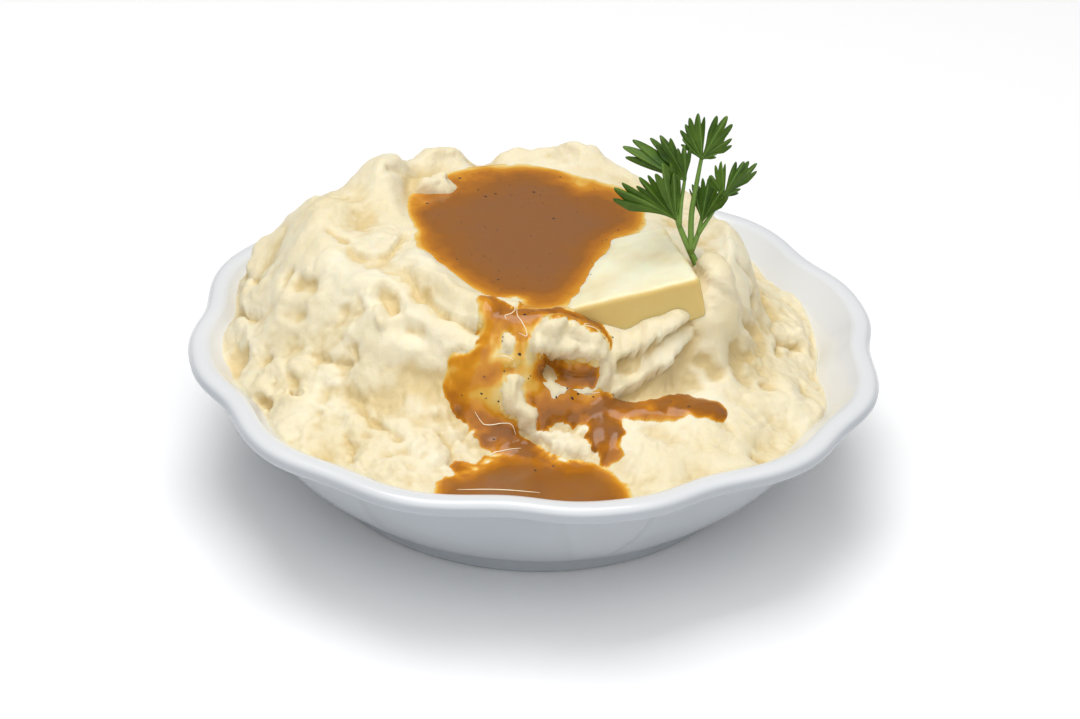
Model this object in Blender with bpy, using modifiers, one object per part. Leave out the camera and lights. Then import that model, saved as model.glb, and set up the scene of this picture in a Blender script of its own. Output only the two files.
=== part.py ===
"""Mashed potato heaped in a scalloped white bowl, with gravy, a pat of butter and a parsley sprig.

Metres, +Z up. The bowl's foot stands on Z = 0 at the origin and the spill side of the heap faces -Y.
"""
from math import atan2, cos, hypot, pi, radians, sin

import bmesh
import bpy
from mathutils import Matrix, Vector

MM = 0.001
GAP = 0.3 * MM
SET_NAME = "mashed_potato_side"

# Bowl: glazed porcelain, four wide petals and four narrow ones round the lip.
RIM_RADIUS = 84.0 * MM
BOWL_HEIGHT = 37.5 * MM
FOOT_RADIUS = 53.5 * MM
FOOT_HEIGHT = 3.4 * MM
FOOT_RECESS = 1.8 * MM
FOOT_WIDTH = 5.0 * MM
LIP_OVERHANG = 6.4 * MM
LIP_HEIGHT = 3.8 * MM
LIP_LAND = 5.6 * MM
WALL_THICKNESS = 4.2 * MM
WALL_BULGE = 6.0 * MM
FLOOR_TOP = 5.6 * MM
PETAL_TURN = radians(13.55)
PETAL_WAVES = ((4, -0.0112), (8, 0.0092), (12, 0.0130), (16, -0.0030), (20, -0.0012))
BOWL_STEPS = 96

# Heap: direction, shoulder radius and height, toe radius and height, wall contact height.
HEAP_SIDES = (
    (0, 45, 57.0, 60, 34.0, 26.0),
    (30, 45, 57.0, 60, 33.0, 25.0),
    (60, 49, 60.5, 63, 36.0, 29.0),
    (90, 50, 62.5, 69, 42.0, 36.0),
    (120, 48, 63.5, 69, 43.0, 38.0),
    (150, 46, 64.5, 69, 45.0, 38.0),
    (180, 46, 62.0, 70, 42.0, 38.0),
    (210, 43, 60.0, 69, 41.0, 37.5),
    (240, 41, 59.0, 63, 41.0, 37.5),
    (270, 38, 59.5, 54, 38.5, 37.0),
    (300, 39, 60.0, 50, 42.5, 37.0),
    (330, 43, 60.0, 53, 42.0, 33.0),
)
# Soft lumps (+) and dents (-) in the mash: x, y, length, width, turn, height.
HEAP_LUMPS = (
    (-36, 27, 8, 10, 0, 6.0),
    (-24, 44, 8, 5, 0, 3.0),
    (8, 48, 12, 5, 0, 2.5),
    (-46, 4, 8, 6, 30, 3.0),
    (-34, -8, 8, 6, -35, -4.0),
    (-38, -22, 6, 5, -30, -4.5),
    (-27, -28, 12, 4, -38, 3.0),
    (-54, -14, 6, 6, 0, -3.0),
    (-50, -34, 8, 7, 0, -3.0),
    (-62, 8, 8, 10, 0, 3.5),
    (42, -9, 5, 8, 10, 8.0),
    (22, -39, 14, 4, 12, 4.0),
    (-22, -56, 9, 7, 0, 2.0),
    (6, -54, 8, 4, 0, 3.0),
    (48, 8, 8, 8, 0, -3.0),
)
TOP_RINGS = 16
WALL_RINGS = 4

# Gravy: level well on top, a pool against the front rim and a tongue over the low right side.
WELL_LEVEL = 60.0 * MM
WELL_CENTRE = (-2.0 * MM, 3.0 * MM)
WELL_HALF = (27.0 * MM, 39.0 * MM)
WELL_DEPTH = 9.0 * MM
WELL_WAVES = ((2, 0.0, 0.03), (3, 90.0, 0.05))
FRONT_LEVEL = 35.4 * MM
FRONT_CENTRE = (0.0 * MM, -68.5 * MM)
FRONT_HALF = (21.5 * MM, 10.0 * MM)
FRONT_DEPTH = 4.5 * MM
TONGUE_LEVEL = 41.0 * MM
TONGUE_CENTRE = (24.0 * MM, -46.5 * MM)
TONGUE_HALF = (22.0 * MM, 4.6 * MM)
TONGUE_DEPTH = 2.2 * MM
TONGUE_TURN = radians(9.0)
TONGUE_RISE = -0.03

# Butter: a slice off a block, sunk by its left edge in the gravy.
BUTTER_SIZE = (37.0 * MM, 35.0 * MM, 10.5 * MM)
BUTTER_CORNER = (38.6 * MM, -27.5 * MM, 66.0 * MM)
BUTTER_LEFTWARD = Vector((-30.4, -7.0, -5.8)).normalized()
BUTTER_BACKWARD = Vector((-7.3, 34.9, -3.8)).normalized()
BUTTER_BEVEL = 1.0 * MM

# Parsley: stems and lobed leaves, drawn upright then leaned back from the foot of the sprig.
SPRIG_FOOT = (36.6 * MM, -12.5 * MM, 61.5 * MM)
SPRIG_LEAN = radians(-13.0)
STEM_RADIUS = 0.75 * MM
LEAF_THICKNESS = 0.9 * MM
STEMS = (
    ((1.4, -4), (0.8, 0), (-1.2, 4), (-3.6, 9.2), (-4.4, 12)),
    ((-3.6, 9.2), (-3.4, 15), (-2.8, 21)),
    ((-0.6, 3.0), (-0.9, 12), (0, 20), (0.9, 26.5)),
    ((-0.4, 3.6), (0.9, 7.5), (1.6, 11.5)),
    ((0.9, 7.5), (3.6, 12.0), (6.6, 17.5)),
)
# Leaves: foot x, foot height, twist, and the lobes as direction, length, half width.
LEAVES = (
    (-4.5, 10.8, 25, ((158, 17.5, 11), (128, 15.5, 15), (92, 10.5, 17))),
    (-2.8, 20.2, -20, ((160, 13.6, 17), (128, 11.5, 19), (98, 8.5, 20))),
    (0.8, 25.4, 12, ((132, 7.5, 20), (97, 10.5, 18), (58, 11.6, 20), (22, 4.0, 22))),
    (1.6, 10.6, -28, ((98, 10.8, 19), (62, 10.8, 19))),
    (6.4, 16.6, 22, ((112, 7.0, 19), (78, 8.6, 18), (48, 10.8, 17), (18, 3.6, 20))),
)
LEAF_STEPS = 5


def collect(obj, group):
    """Put an object in one collection only."""
    for owner in list(obj.users_collection):
        owner.objects.unlink(obj)
    group.objects.link(obj)


def make_group(name):
    group = bpy.data.collections.new(name)
    bpy.context.scene.collection.children.link(group)
    return group


def make_material(name, colour, roughness, subsurface):
    material = bpy.data.materials.new(name)
    material.use_nodes = True
    shader = material.node_tree.nodes["Principled BSDF"]
    shader.inputs["Base Color"].default_value = (*colour, 1.0)
    shader.inputs["Roughness"].default_value = roughness
    shader.inputs["Metallic"].default_value = 0.0
    shader.inputs["Subsurface Weight"].default_value = subsurface
    return material


def object_from_bmesh(name, mesh_builder, group):
    bmesh.ops.recalc_face_normals(mesh_builder, faces=mesh_builder.faces)
    mesh = bpy.data.meshes.new(name)
    mesh_builder.to_mesh(mesh)
    mesh_builder.free()
    obj = bpy.data.objects.new(name, mesh)
    group.objects.link(obj)
    return obj


def settle(obj):
    """Replace an object's mesh by its modified one and drop the modifiers."""
    graph = bpy.context.evaluated_depsgraph_get()
    mesh = bpy.data.meshes.new_from_object(obj.evaluated_get(graph))
    if obj.type != "MESH":
        solid = bpy.data.objects.new(obj.name + "_solid", mesh)
        obj.users_collection[0].objects.link(solid)
        solid.matrix_world = obj.matrix_world
        bpy.data.objects.remove(obj)
        return solid
    obj.modifiers.clear()
    obj.data = mesh
    return obj


def turn_profile(name, profile, steps, group):
    """Revolve a profile, listed from the top of the axis to its bottom, into a closed solid."""
    mesh = bpy.data.meshes.new(name)
    mesh.from_pydata([(x, 0.0, z) for x, z in profile], [(i, i + 1) for i in range(len(profile) - 1)], [])
    obj = bpy.data.objects.new(name, mesh)
    group.objects.link(obj)
    screw = obj.modifiers.new("turn", "SCREW")
    screw.axis = "Z"
    screw.angle = 2.0 * pi
    screw.steps = steps
    screw.render_steps = steps
    screw.use_merge_vertices = True
    screw.merge_threshold = 0.00005
    screw.use_normal_calculate = True
    return settle(obj)


def cut(obj, cutter):
    """Take the cutter out of an object."""
    boolean = obj.modifiers.new("cut", "BOOLEAN")
    boolean.operation = "DIFFERENCE"
    boolean.solver = "EXACT"
    boolean.object = cutter
    settle(obj)
    clean(obj)


def join(obj, other):
    boolean = obj.modifiers.new("join", "BOOLEAN")
    boolean.operation = "UNION"
    boolean.solver = "EXACT"
    boolean.object = other
    settle(obj)
    bpy.data.objects.remove(other)


def clean(obj):
    """Weld slivers left by a cut and keep the largest piece."""
    builder = bmesh.new()
    builder.from_mesh(obj.data)
    bmesh.ops.remove_doubles(builder, verts=builder.verts, dist=0.00003)
    bmesh.ops.dissolve_degenerate(builder, edges=builder.edges, dist=0.00002)
    bmesh.ops.triangulate(builder, faces=builder.faces)
    islands = []
    waiting = set(builder.faces)
    while waiting:
        front = [waiting.pop()]
        island = set(front)
        while front:
            for edge in front.pop().edges:
                for neighbour in edge.link_faces:
                    if neighbour not in island:
                        island.add(neighbour)
                        front.append(neighbour)
        waiting -= island
        islands.append(island)
    islands.sort(key=len)
    for island in islands[:-1]:
        bmesh.ops.delete(builder, geom=list(island), context="FACES")
    builder.to_mesh(obj.data)
    builder.free()


def smooth(value):
    value = min(1.0, max(0.0, value))
    return value * value * (3.0 - 2.0 * value)


# ---------------------------------------------------------------- bowl

def petal(angle):
    """Share by which the lip stands out (+) or in (-) at an angle."""
    turned = angle - PETAL_TURN
    return sum(size * cos(count * turned) for count, size in PETAL_WAVES)


def petal_strength(height):
    """The petals are full at the lip and die away towards the foot."""
    return smooth((height - FOOT_HEIGHT) / (BOWL_HEIGHT - FOOT_HEIGHT) * 0.95 + 0.05)


def wall_point(share):
    """Outer wall from the foot (0) to the underside of the lip (1), bulging outward."""
    low = Vector((FOOT_RADIUS, FOOT_HEIGHT))
    high = Vector((RIM_RADIUS - LIP_OVERHANG, BOWL_HEIGHT - LIP_HEIGHT))
    along = (high - low).normalized()
    pull = (low + high) / 2.0 + Vector((along.y, -along.x)) * WALL_BULGE
    return low * (1 - share) ** 2 + pull * 2 * share * (1 - share) + high * share ** 2


def inner_wall():
    """Inner profile of the bowl as (radius, height), from the lip down to the floor."""
    points = [(RIM_RADIUS - LIP_LAND, BOWL_HEIGHT - 0.9 * MM)]
    for step in range(1, 5):
        share = 1.0 - step / 5.0
        here = wall_point(share)
        ahead = wall_point(share + 0.02) - wall_point(share - 0.02)
        inward = Vector((-ahead.y, ahead.x)).normalized() * WALL_THICKNESS
        points.append((here.x + inward.x, here.y + inward.y))
    return points + [(FOOT_RADIUS - 5.0 * MM, FLOOR_TOP)]


def bowl_profile():
    """Bowl section from the floor's centre, up inside, over the lip and down to the foot recess."""
    top = BOWL_HEIGHT
    lip_inner = RIM_RADIUS - LIP_LAND
    profile = [(0.0, FLOOR_TOP), (FOOT_RADIUS * 0.5, FLOOR_TOP)]
    profile += list(reversed(inner_wall()))
    profile += [
        (lip_inner + 1.3 * MM, top - 0.1 * MM),
        (RIM_RADIUS - 2.2 * MM, top),
        (RIM_RADIUS - 0.4 * MM, top - 0.9 * MM),
        (RIM_RADIUS, top - LIP_HEIGHT + 0.9 * MM),
        (RIM_RADIUS - 1.1 * MM, top - LIP_HEIGHT),
    ]
    profile += [tuple(wall_point(1.0 - step / 5.0)) for step in range(6)]
    profile += [
        (FOOT_RADIUS - 1.0 * MM, 0.0),
        (FOOT_RADIUS - FOOT_WIDTH, 0.0),
        (FOOT_RADIUS - FOOT_WIDTH - 1.0 * MM, FOOT_RECESS),
        (0.0, FOOT_RECESS),
    ]
    return profile


def flute(obj):
    """Push each vertex of a turned solid out or in to follow the petals."""
    for vertex in obj.data.vertices:
        scale = 1.0 + petal(atan2(vertex.co.y, vertex.co.x)) * petal_strength(vertex.co.z)
        vertex.co.x *= scale
        vertex.co.y *= scale


def make_bowl(group):
    bowl = turn_profile("bowl", bowl_profile(), BOWL_STEPS, group)
    flute(bowl)
    bowl.data.materials.clear()
    bowl.data.materials.append(make_material("white_glaze", (0.80, 0.82, 0.85), 0.18, 0.0))
    return bowl


# ---------------------------------------------------------------- mash

def around(angle):
    """Shoulder and toe sizes of the heap in one direction, blended between the listed ones."""
    turn = (angle / (2.0 * pi) % 1.0) * len(HEAP_SIDES)
    first = int(turn) % len(HEAP_SIDES)
    blend = smooth(turn - int(turn))
    low = HEAP_SIDES[first]
    high = HEAP_SIDES[(first + 1) % len(HEAP_SIDES)]
    return [(a + (b - a) * blend) * MM for a, b in zip(low[1:], high[1:])]


def wall_radius(height, angle):
    """Radius inside the bowl at a height, with the petals."""
    wall = inner_wall()
    radius = wall[0][0]
    for (upper_r, upper_z), (lower_r, lower_z) in zip(wall, wall[1:]):
        if lower_z <= height <= upper_z:
            radius = lower_r + (upper_r - lower_r) * (height - lower_z) / (upper_z - lower_z)
            break
    return radius * (1.0 + petal(angle) * petal_strength(height))


def lumps(x, y):
    total = 0.0
    for cx, cy, length, width, turn, height in HEAP_LUMPS:
        dx = x / MM - cx
        dy = y / MM - cy
        along = (dx * cos(radians(turn)) + dy * sin(radians(turn))) / length
        across = (dy * cos(radians(turn)) - dx * sin(radians(turn))) / width
        total += height * MM * 2.718 ** (-(along * along + across * across))
    return total


def heap_height(x, y):
    """Top of the mash over a point of the table."""
    radius = hypot(x, y)
    angle = atan2(y, x)
    shoulder_r, shoulder_z, toe_r, toe_z, edge_z = around(angle)
    edge_r = wall_radius(edge_z, angle)
    if radius < shoulder_r:
        level = WELL_LEVEL + (shoulder_z - WELL_LEVEL) * (radius / shoulder_r) ** 2
    elif radius < toe_r:
        level = shoulder_z + (toe_z - shoulder_z) * smooth((radius - shoulder_r) / (toe_r - shoulder_r))
    else:
        level = toe_z + (edge_z - toe_z) * min(1.0, (radius - toe_r) / max(edge_r - toe_r, MM))
    fade = smooth((edge_r - radius) / (6.0 * MM))
    return level + lumps(x, y) * fade


def make_mash(group):
    """A turned blank whose top is shaped to the heap and whose underside is the bowl's inside."""
    profile = [(0.0, 60.0 * MM)]
    profile += [(ring / TOP_RINGS * 70.0 * MM, 60.0 * MM - ring * MM) for ring in range(1, TOP_RINGS + 1)]
    profile += [((66.0 - ring) * MM, (10.0 - ring) * MM) for ring in range(WALL_RINGS + 1)]
    profile += [(0.0, 2.0 * MM)]
    mash = turn_profile("mash", profile, BOWL_STEPS, group)
    for vertex in mash.data.vertices:
        x, y, z = vertex.co
        angle = atan2(y, x)
        edge_z = around(angle)[-1]
        edge_r = wall_radius(edge_z, angle) - GAP * 1.6
        if z > 20.0 * MM:
            radius = hypot(x, y) / (70.0 * MM) * edge_r
            vertex.co.x = radius * cos(angle)
            vertex.co.y = radius * sin(angle)
            vertex.co.z = heap_height(vertex.co.x, vertex.co.y)
        elif hypot(x, y) > MM:
            share = (10.0 * MM - z) / (WALL_RINGS * MM)
            height = (edge_z - 1.5 * MM) * (1.0 - share) + (FLOOR_TOP + GAP) * share
            radius = wall_radius(height, angle) - GAP * 3.2
            vertex.co = (radius * cos(angle), radius * sin(angle), height)
        else:
            vertex.co.z = FLOOR_TOP + GAP
    mash.data.materials.clear()
    mash.data.materials.append(make_material("mash", (0.90, 0.81, 0.58), 0.55, 0.3))
    return mash


# ---------------------------------------------------------------- gravy

def puddle(name, centre, half, level, depth, group, turn=0.0, rise=0.0, waves=(), grow=0.0, open_top=0.0):
    """A flat-topped pool with a dished underside; a grown one with an open top is its cutter."""
    steps = 40
    rings = []
    if open_top > 0.0:
        rings.append((1.0, grow + open_top * 0.5, open_top))
    rings += [(1.0, grow, 0.0), (0.92, grow, -0.35), (0.7, grow, -0.8)]
    builder = bmesh.new()
    loops = []
    for share, spread, drop in rings:
        loop = []
        for step in range(steps):
            angle = 2.0 * pi * step / steps
            wave = 1.0 + sum(size * cos(count * (angle - radians(start))) for count, start, size in waves)
            along = (half[0] * share * wave + spread) * cos(angle)
            across = (half[1] * share * wave + spread) * sin(angle)
            x = centre[0] + along * cos(turn) - across * sin(turn)
            y = centre[1] + along * sin(turn) + across * cos(turn)
            z = level + rise * along + (drop if drop > 0.0 else drop * (depth + grow) - grow * (drop < 0.0))
            loop.append(builder.verts.new((x, y, z)))
        loops.append(loop)
    bottom = builder.verts.new((centre[0], centre[1], level - depth - grow))
    for upper, lower in zip(loops, loops[1:]):
        for step in range(steps):
            after = (step + 1) % steps
            builder.faces.new((upper[step], upper[after], lower[after], lower[step]))
    for step in range(steps):
        builder.faces.new((loops[-1][step], loops[-1][(step + 1) % steps], bottom))
    builder.faces.new(loops[0])
    return object_from_bmesh(name, builder, group)


def keep_inside(obj, other):
    boolean = obj.modifiers.new("keep_inside", "BOOLEAN")
    boolean.operation = "INTERSECT"
    boolean.solver = "EXACT"
    boolean.object = other
    settle(obj)
    clean(obj)


def make_gravy(mash, group, cutters):
    """Three pools, each set in its own hollow of the mash; the front one ends at the bowl's wall."""
    brown = (0.30, 0.115, 0.03)
    plans = (
        ("gravy_well", WELL_CENTRE, WELL_HALF, WELL_LEVEL, WELL_DEPTH, 0.0, 0.0, WELL_WAVES),
        ("gravy_front", FRONT_CENTRE, FRONT_HALF, FRONT_LEVEL, FRONT_DEPTH, 0.0, 0.0, ()),
        ("gravy_tongue", TONGUE_CENTRE, TONGUE_HALF, TONGUE_LEVEL, TONGUE_DEPTH, TONGUE_TURN, TONGUE_RISE, ()),
    )
    pools = []
    for name, centre, half, level, depth, turn, rise, waves in plans:
        pool = puddle(name, centre, half, level, depth, group, turn, rise, waves)
        pool.data.materials.append(make_material(name + "_sauce", brown, 0.22, 0.0))
        if name == "gravy_front":
            keep_inside(pool, mash)
        cutter = puddle(name + "_cutter", centre, half, level, depth, cutters, turn, rise, waves, GAP, 16.0 * MM)
        cut(mash, cutter)
        pools.append(pool)
    return pools


# ---------------------------------------------------------------- butter

def butter_block(name, group, grow):
    """A bevelled slice; the grown copy is cut out of what it lies in."""
    bpy.ops.mesh.primitive_cube_add(size=1.0)
    block = bpy.context.active_object
    block.name = name
    collect(block, group)
    width, depth, thick = (size + 2.0 * grow for size in BUTTER_SIZE)
    upward = BUTTER_BACKWARD.cross(BUTTER_LEFTWARD).normalized()
    square = upward.cross(BUTTER_BACKWARD).normalized() * -1.0
    across = BUTTER_LEFTWARD if square.dot(BUTTER_LEFTWARD) > 0.999 else square
    if across.dot(BUTTER_LEFTWARD) < 0.0:
        across = -across
    middle = Vector(BUTTER_CORNER)
    middle += across * BUTTER_SIZE[0] / 2.0
    middle += BUTTER_BACKWARD * BUTTER_SIZE[1] / 2.0
    middle -= upward * BUTTER_SIZE[2] / 2.0
    frame = Matrix((-across, BUTTER_BACKWARD, upward)).transposed().to_4x4()
    block.data.transform(Matrix.Diagonal((width, depth, thick, 1.0)))
    block.matrix_world = Matrix.Translation(middle) @ frame
    bevel = block.modifiers.new("softened_edges", "BEVEL")
    bevel.width = BUTTER_BEVEL
    bevel.segments = 2
    return settle(block)


def make_butter(neighbours, group, cutters):
    butter = butter_block("butter", group, 0.0)
    butter.data.materials.clear()
    butter.data.materials.append(make_material("butter_fat", (0.92, 0.80, 0.38), 0.35, 0.2))
    cutter = butter_block("butter_cutter", cutters, GAP)
    for neighbour in neighbours:
        cut(neighbour, cutter)


# ---------------------------------------------------------------- parsley

def stem_curve(name, points, radius, group):
    curve = bpy.data.curves.new(name, "CURVE")
    curve.dimensions = "3D"
    curve.bevel_depth = radius
    curve.bevel_resolution = 1
    curve.resolution_u = 2
    curve.render_resolution_u = 2
    curve.use_fill_caps = True
    spline = curve.splines.new("NURBS")
    spline.points.add(len(points) - 1)
    spline.use_endpoint_u = True
    spline.order_u = 3
    for point, (x, up) in zip(spline.points, points):
        point.co = (x * MM, 0.0, up * MM, 1.0)
    obj = bpy.data.objects.new(name, curve)
    group.objects.link(obj)
    obj = settle(obj)
    builder = bmesh.new()
    builder.from_mesh(obj.data)
    bmesh.ops.remove_doubles(builder, verts=builder.verts, dist=0.00002)
    bmesh.ops.recalc_face_normals(builder, faces=builder.faces)
    builder.to_mesh(obj.data)
    builder.free()
    return obj


def leaf_reach(direction, lobes):
    """How far the leaf's edge lies from its foot in a direction: the longest lobe there wins."""
    reach = 0.22 * max(length for _, length, _ in lobes)
    for heading, length, half_width in lobes:
        offset = (direction - heading) / half_width
        if abs(offset) < 1.0:
            reach = max(reach, length * (1.0 - 0.85 * offset * offset))
    return reach


def leaf_plate(name, foot_x, foot_up, twist, lobes, group):
    """A flat lobed leaf with its own foot point, made thick on both sides."""
    outline = [(0.0, -0.6 * MM)]
    first = min(heading - half for heading, _, half in lobes)
    last = max(heading + half for heading, _, half in lobes)
    steps = LEAF_STEPS * len(lobes) + 2
    for step in range(steps + 1):
        direction = first + (last - first) * step / steps
        reach = leaf_reach(direction, lobes) * MM
        outline.append((reach * cos(radians(direction)), reach * sin(radians(direction))))
    builder = bmesh.new()
    flat = [builder.verts.new((x, 0.0, up)) for x, up in outline]
    builder.faces.new(flat)
    leaf = object_from_bmesh(name, builder, group)
    thick = leaf.modifiers.new("blade", "SOLIDIFY")
    thick.thickness = LEAF_THICKNESS
    thick.offset = 0.0
    leaf = settle(leaf)
    placed = Matrix.Translation((foot_x * MM, 0.0, foot_up * MM)) @ Matrix.Rotation(radians(twist), 4, "Z")
    leaf.data.transform(placed)
    return leaf


def make_parsley(mash, group, cutters):
    """Stems joined first, then each leaf; the foot of the sprig stands in a hole in the mash."""
    sprig = stem_curve("parsley", STEMS[0], STEM_RADIUS, group)
    sprig.name = "parsley"
    for number, points in enumerate(STEMS[1:]):
        join(sprig, stem_curve("stem_%d" % number, points, STEM_RADIUS * 0.9, group))
    for number, (foot_x, foot_up, twist, lobes) in enumerate(LEAVES):
        join(sprig, leaf_plate("leaf_%d" % number, foot_x, foot_up, twist, lobes, group))
    clean(sprig)
    placed = Matrix.Translation(SPRIG_FOOT) @ Matrix.Rotation(SPRIG_LEAN, 4, "X")
    sprig.matrix_world = placed
    for number in (0, 2, 3):
        path = ((1.5, -4.4),) + STEMS[0][1:] if number == 0 else STEMS[number]
        hole = stem_curve("parsley_hole_%d" % number, path, STEM_RADIUS + GAP * 1.5, cutters)
        hole.matrix_world = placed
        bpy.context.view_layer.update()
        cut(mash, hole)
    sprig.data.materials.clear()
    sprig.data.materials.append(make_material("parsley_leaf", (0.05, 0.13, 0.02), 0.35, 0.0))
    return sprig


def build():
    for obj in list(bpy.data.objects):
        bpy.data.objects.remove(obj, do_unlink=True)
    group = make_group(SET_NAME)
    cutters = make_group("cutters")
    make_bowl(group)
    mash = make_mash(group)
    pools = make_gravy(mash, group, cutters)
    make_butter([mash] + pools[:1], group, cutters)
    make_parsley(mash, group, cutters)
    for cutter in cutters.objects:
        cutter.hide_render = True
        cutter.display_type = "WIRE"


build()
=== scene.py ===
from math import cos, pi, radians, sin

import bmesh
import bpy
import numpy as np
from mathutils import Matrix, Vector
from mathutils.bvhtree import BVHTree


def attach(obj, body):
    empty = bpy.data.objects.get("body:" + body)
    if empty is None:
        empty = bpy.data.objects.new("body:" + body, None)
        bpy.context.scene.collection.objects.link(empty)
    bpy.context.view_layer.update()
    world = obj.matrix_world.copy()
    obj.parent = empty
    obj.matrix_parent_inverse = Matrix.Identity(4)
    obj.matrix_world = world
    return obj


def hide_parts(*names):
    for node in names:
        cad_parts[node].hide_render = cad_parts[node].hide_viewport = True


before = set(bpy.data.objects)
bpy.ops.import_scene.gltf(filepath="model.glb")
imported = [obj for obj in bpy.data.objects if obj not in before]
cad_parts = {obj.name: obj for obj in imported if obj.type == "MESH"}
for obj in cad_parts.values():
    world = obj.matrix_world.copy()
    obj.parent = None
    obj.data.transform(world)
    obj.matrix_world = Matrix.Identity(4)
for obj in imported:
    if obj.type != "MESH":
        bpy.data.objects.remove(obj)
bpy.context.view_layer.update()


# ---- The bowl ---------------------------------------------------------------------------
# Slip-cast porcelain under a clear white glaze. It stands on a turned foot ring, and its lip
# is pressed into four wide and four narrow petals that fade down the wall. All sizes in mm.

MM = 0.001
BOWL_TOP = 37.5
PETALS_START = 3.4
PETAL_TURN = radians(13.55)
PETAL_WAVES = ((4, -0.0112), (8, 0.0092), (12, 0.0130), (16, -0.0030), (20, -0.0012), (24, -0.0014))
ROUND_STEPS = 432


def soft(value):
    """Ease from 0 to 1 without a kink at either end."""
    value = np.clip(value, 0.0, 1.0)
    return value * value * (3.0 - 2.0 * value)


def petal(angle):
    """Share by which the lip stands out or in at an angle."""
    return sum(size * np.cos(count * (angle - PETAL_TURN)) for count, size in PETAL_WAVES)


def petal_strength(height):
    """How strongly the petals show at a height: barely at the foot, fully at the lip."""
    return soft((height - PETALS_START) / (BOWL_TOP - PETALS_START) * 0.95 + 0.05)


def rounded(points, per_side=7):
    """Run a smooth line through the points of a section."""
    points = np.array(points, float)
    padded = np.vstack([2 * points[0] - points[1], points, 2 * points[-1] - points[-2]])
    line = []
    for a, b, c, d in zip(padded, padded[1:], padded[2:], padded[3:]):
        for share in np.linspace(0.0, 1.0, per_side, endpoint=False):
            line.append(b + 0.5 * share * (c - a + share * (2 * a - 5 * b + 4 * c - d
                                                            + share * (3 * (b - c) + d - a))))
    return np.array(line + [points[-1]])


def mesh_piece(name, points, faces, material, smooth=True):
    """Make one piece from points in mm, its faces all turned outwards, and give it its finish."""
    mesh = bpy.data.meshes.new(name)
    mesh.from_pydata((np.asarray(points) * MM).tolist(), [], [list(face) for face in faces])
    shell = bmesh.new()
    shell.from_mesh(mesh)
    bmesh.ops.recalc_face_normals(shell, faces=shell.faces)
    shell.to_mesh(mesh)
    shell.free()
    mesh.polygons.foreach_set("use_smooth", [smooth] * len(mesh.polygons))
    mesh.update()
    mesh.materials.append(material)
    piece = bpy.data.objects.new(name, mesh)
    bpy.context.scene.collection.objects.link(piece)
    return piece


def ring_faces(rings, steps):
    """Quads that join each ring of points to the next."""
    step = np.arange(steps)
    after = (step + 1) % steps
    faces = []
    for ring in range(rings - 1):
        low = ring * steps
        high = low + steps
        faces.append(np.stack([low + step, low + after, high + after, high + step], 1))
    return np.vstack(faces)


def add_value(piece, name, values):
    """Keep a value for each point of a piece, for its finish to use."""
    layer = piece.data.attributes.new(name, "FLOAT", "POINT")
    layer.data.foreach_set("value", np.asarray(values, np.float32))


def new_finish(name, roughness):
    """A new material with its shader, nodes and links."""
    material = bpy.data.materials.new(name)
    material.use_nodes = True
    nodes = material.node_tree.nodes
    shader = nodes["Principled BSDF"]
    shader.inputs["Roughness"].default_value = roughness
    return material, nodes, material.node_tree.links, shader


def link_noise(nodes, links, scale, detail, roughness=0.5):
    """Noise laid out in object space, so it stays put on the piece."""
    place = nodes.new("ShaderNodeTexCoord")
    noise = nodes.new("ShaderNodeTexNoise")
    noise.inputs["Scale"].default_value = scale
    noise.inputs["Detail"].default_value = detail
    noise.inputs["Roughness"].default_value = roughness
    links.new(place.outputs["Object"], noise.inputs["Vector"])
    return noise


def link_ramp(nodes, links, source, stops, target):
    """Colour a value through named stops of (place, colour)."""
    ramp = nodes.new("ShaderNodeValToRGB")
    while len(ramp.color_ramp.elements) < len(stops):
        ramp.color_ramp.elements.new(0.5)
    for element, (place, colour) in zip(ramp.color_ramp.elements, stops):
        element.position = place
        element.color = (*colour, 1.0)
    links.new(source, ramp.inputs["Fac"])
    links.new(ramp.outputs["Color"], target)


def link_gloss(nodes, links, source, low, high, shader):
    """Vary the roughness between two values."""
    link_ramp(nodes, links, source, [(0.3, (low,) * 3), (0.7, (high,) * 3)], shader.inputs["Roughness"])


def link_blend(nodes, links, source, first_stops, second_stops, value_name, shader):
    """Colour a noise in two ways, and go from the first to the second by a value kept on the piece."""
    value = nodes.new("ShaderNodeAttribute")
    value.attribute_name = value_name
    mix = nodes.new("ShaderNodeMix")
    mix.data_type = "RGBA"
    link_ramp(nodes, links, source, first_stops, mix.inputs["A"])
    link_ramp(nodes, links, source, second_stops, mix.inputs["B"])
    links.new(value.outputs["Fac"], mix.inputs["Factor"])
    links.new(mix.outputs["Result"], shader.inputs["Base Color"])


def link_bump(nodes, links, source, shader, height, strength):
    """Raise fine relief of a height in metres."""
    bump = nodes.new("ShaderNodeBump")
    bump.inputs["Strength"].default_value = strength
    bump.inputs["Distance"].default_value = height
    links.new(source, bump.inputs["Height"])
    links.new(bump.outputs["Normal"], shader.inputs["Normal"])


def glaze_finish():
    material, nodes, links, shader = new_finish("white_glaze", 0.28)
    body = link_noise(nodes, links, 22.0, 3.0)
    # Painted shade: the second, darker blue-grey colours are laid on the outer wall by its kept value.
    link_blend(nodes, links, body.outputs["Fac"],
               [(0.3, (0.73, 0.745, 0.765)), (0.7, (0.76, 0.775, 0.79))],
               [(0.3, (0.44, 0.475, 0.515)), (0.7, (0.48, 0.51, 0.545))], "outer_wall_shade", shader)
    ripple = link_noise(nodes, links, 55.0, 2.0)
    link_gloss(nodes, links, ripple.outputs["Fac"], 0.18, 0.25, shader)
    link_bump(nodes, links, ripple.outputs["Fac"], shader, 0.0002, 0.3)
    shader.inputs["Coat Weight"].default_value = 0.15
    shader.inputs["Coat Roughness"].default_value = 0.06
    return material


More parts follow.
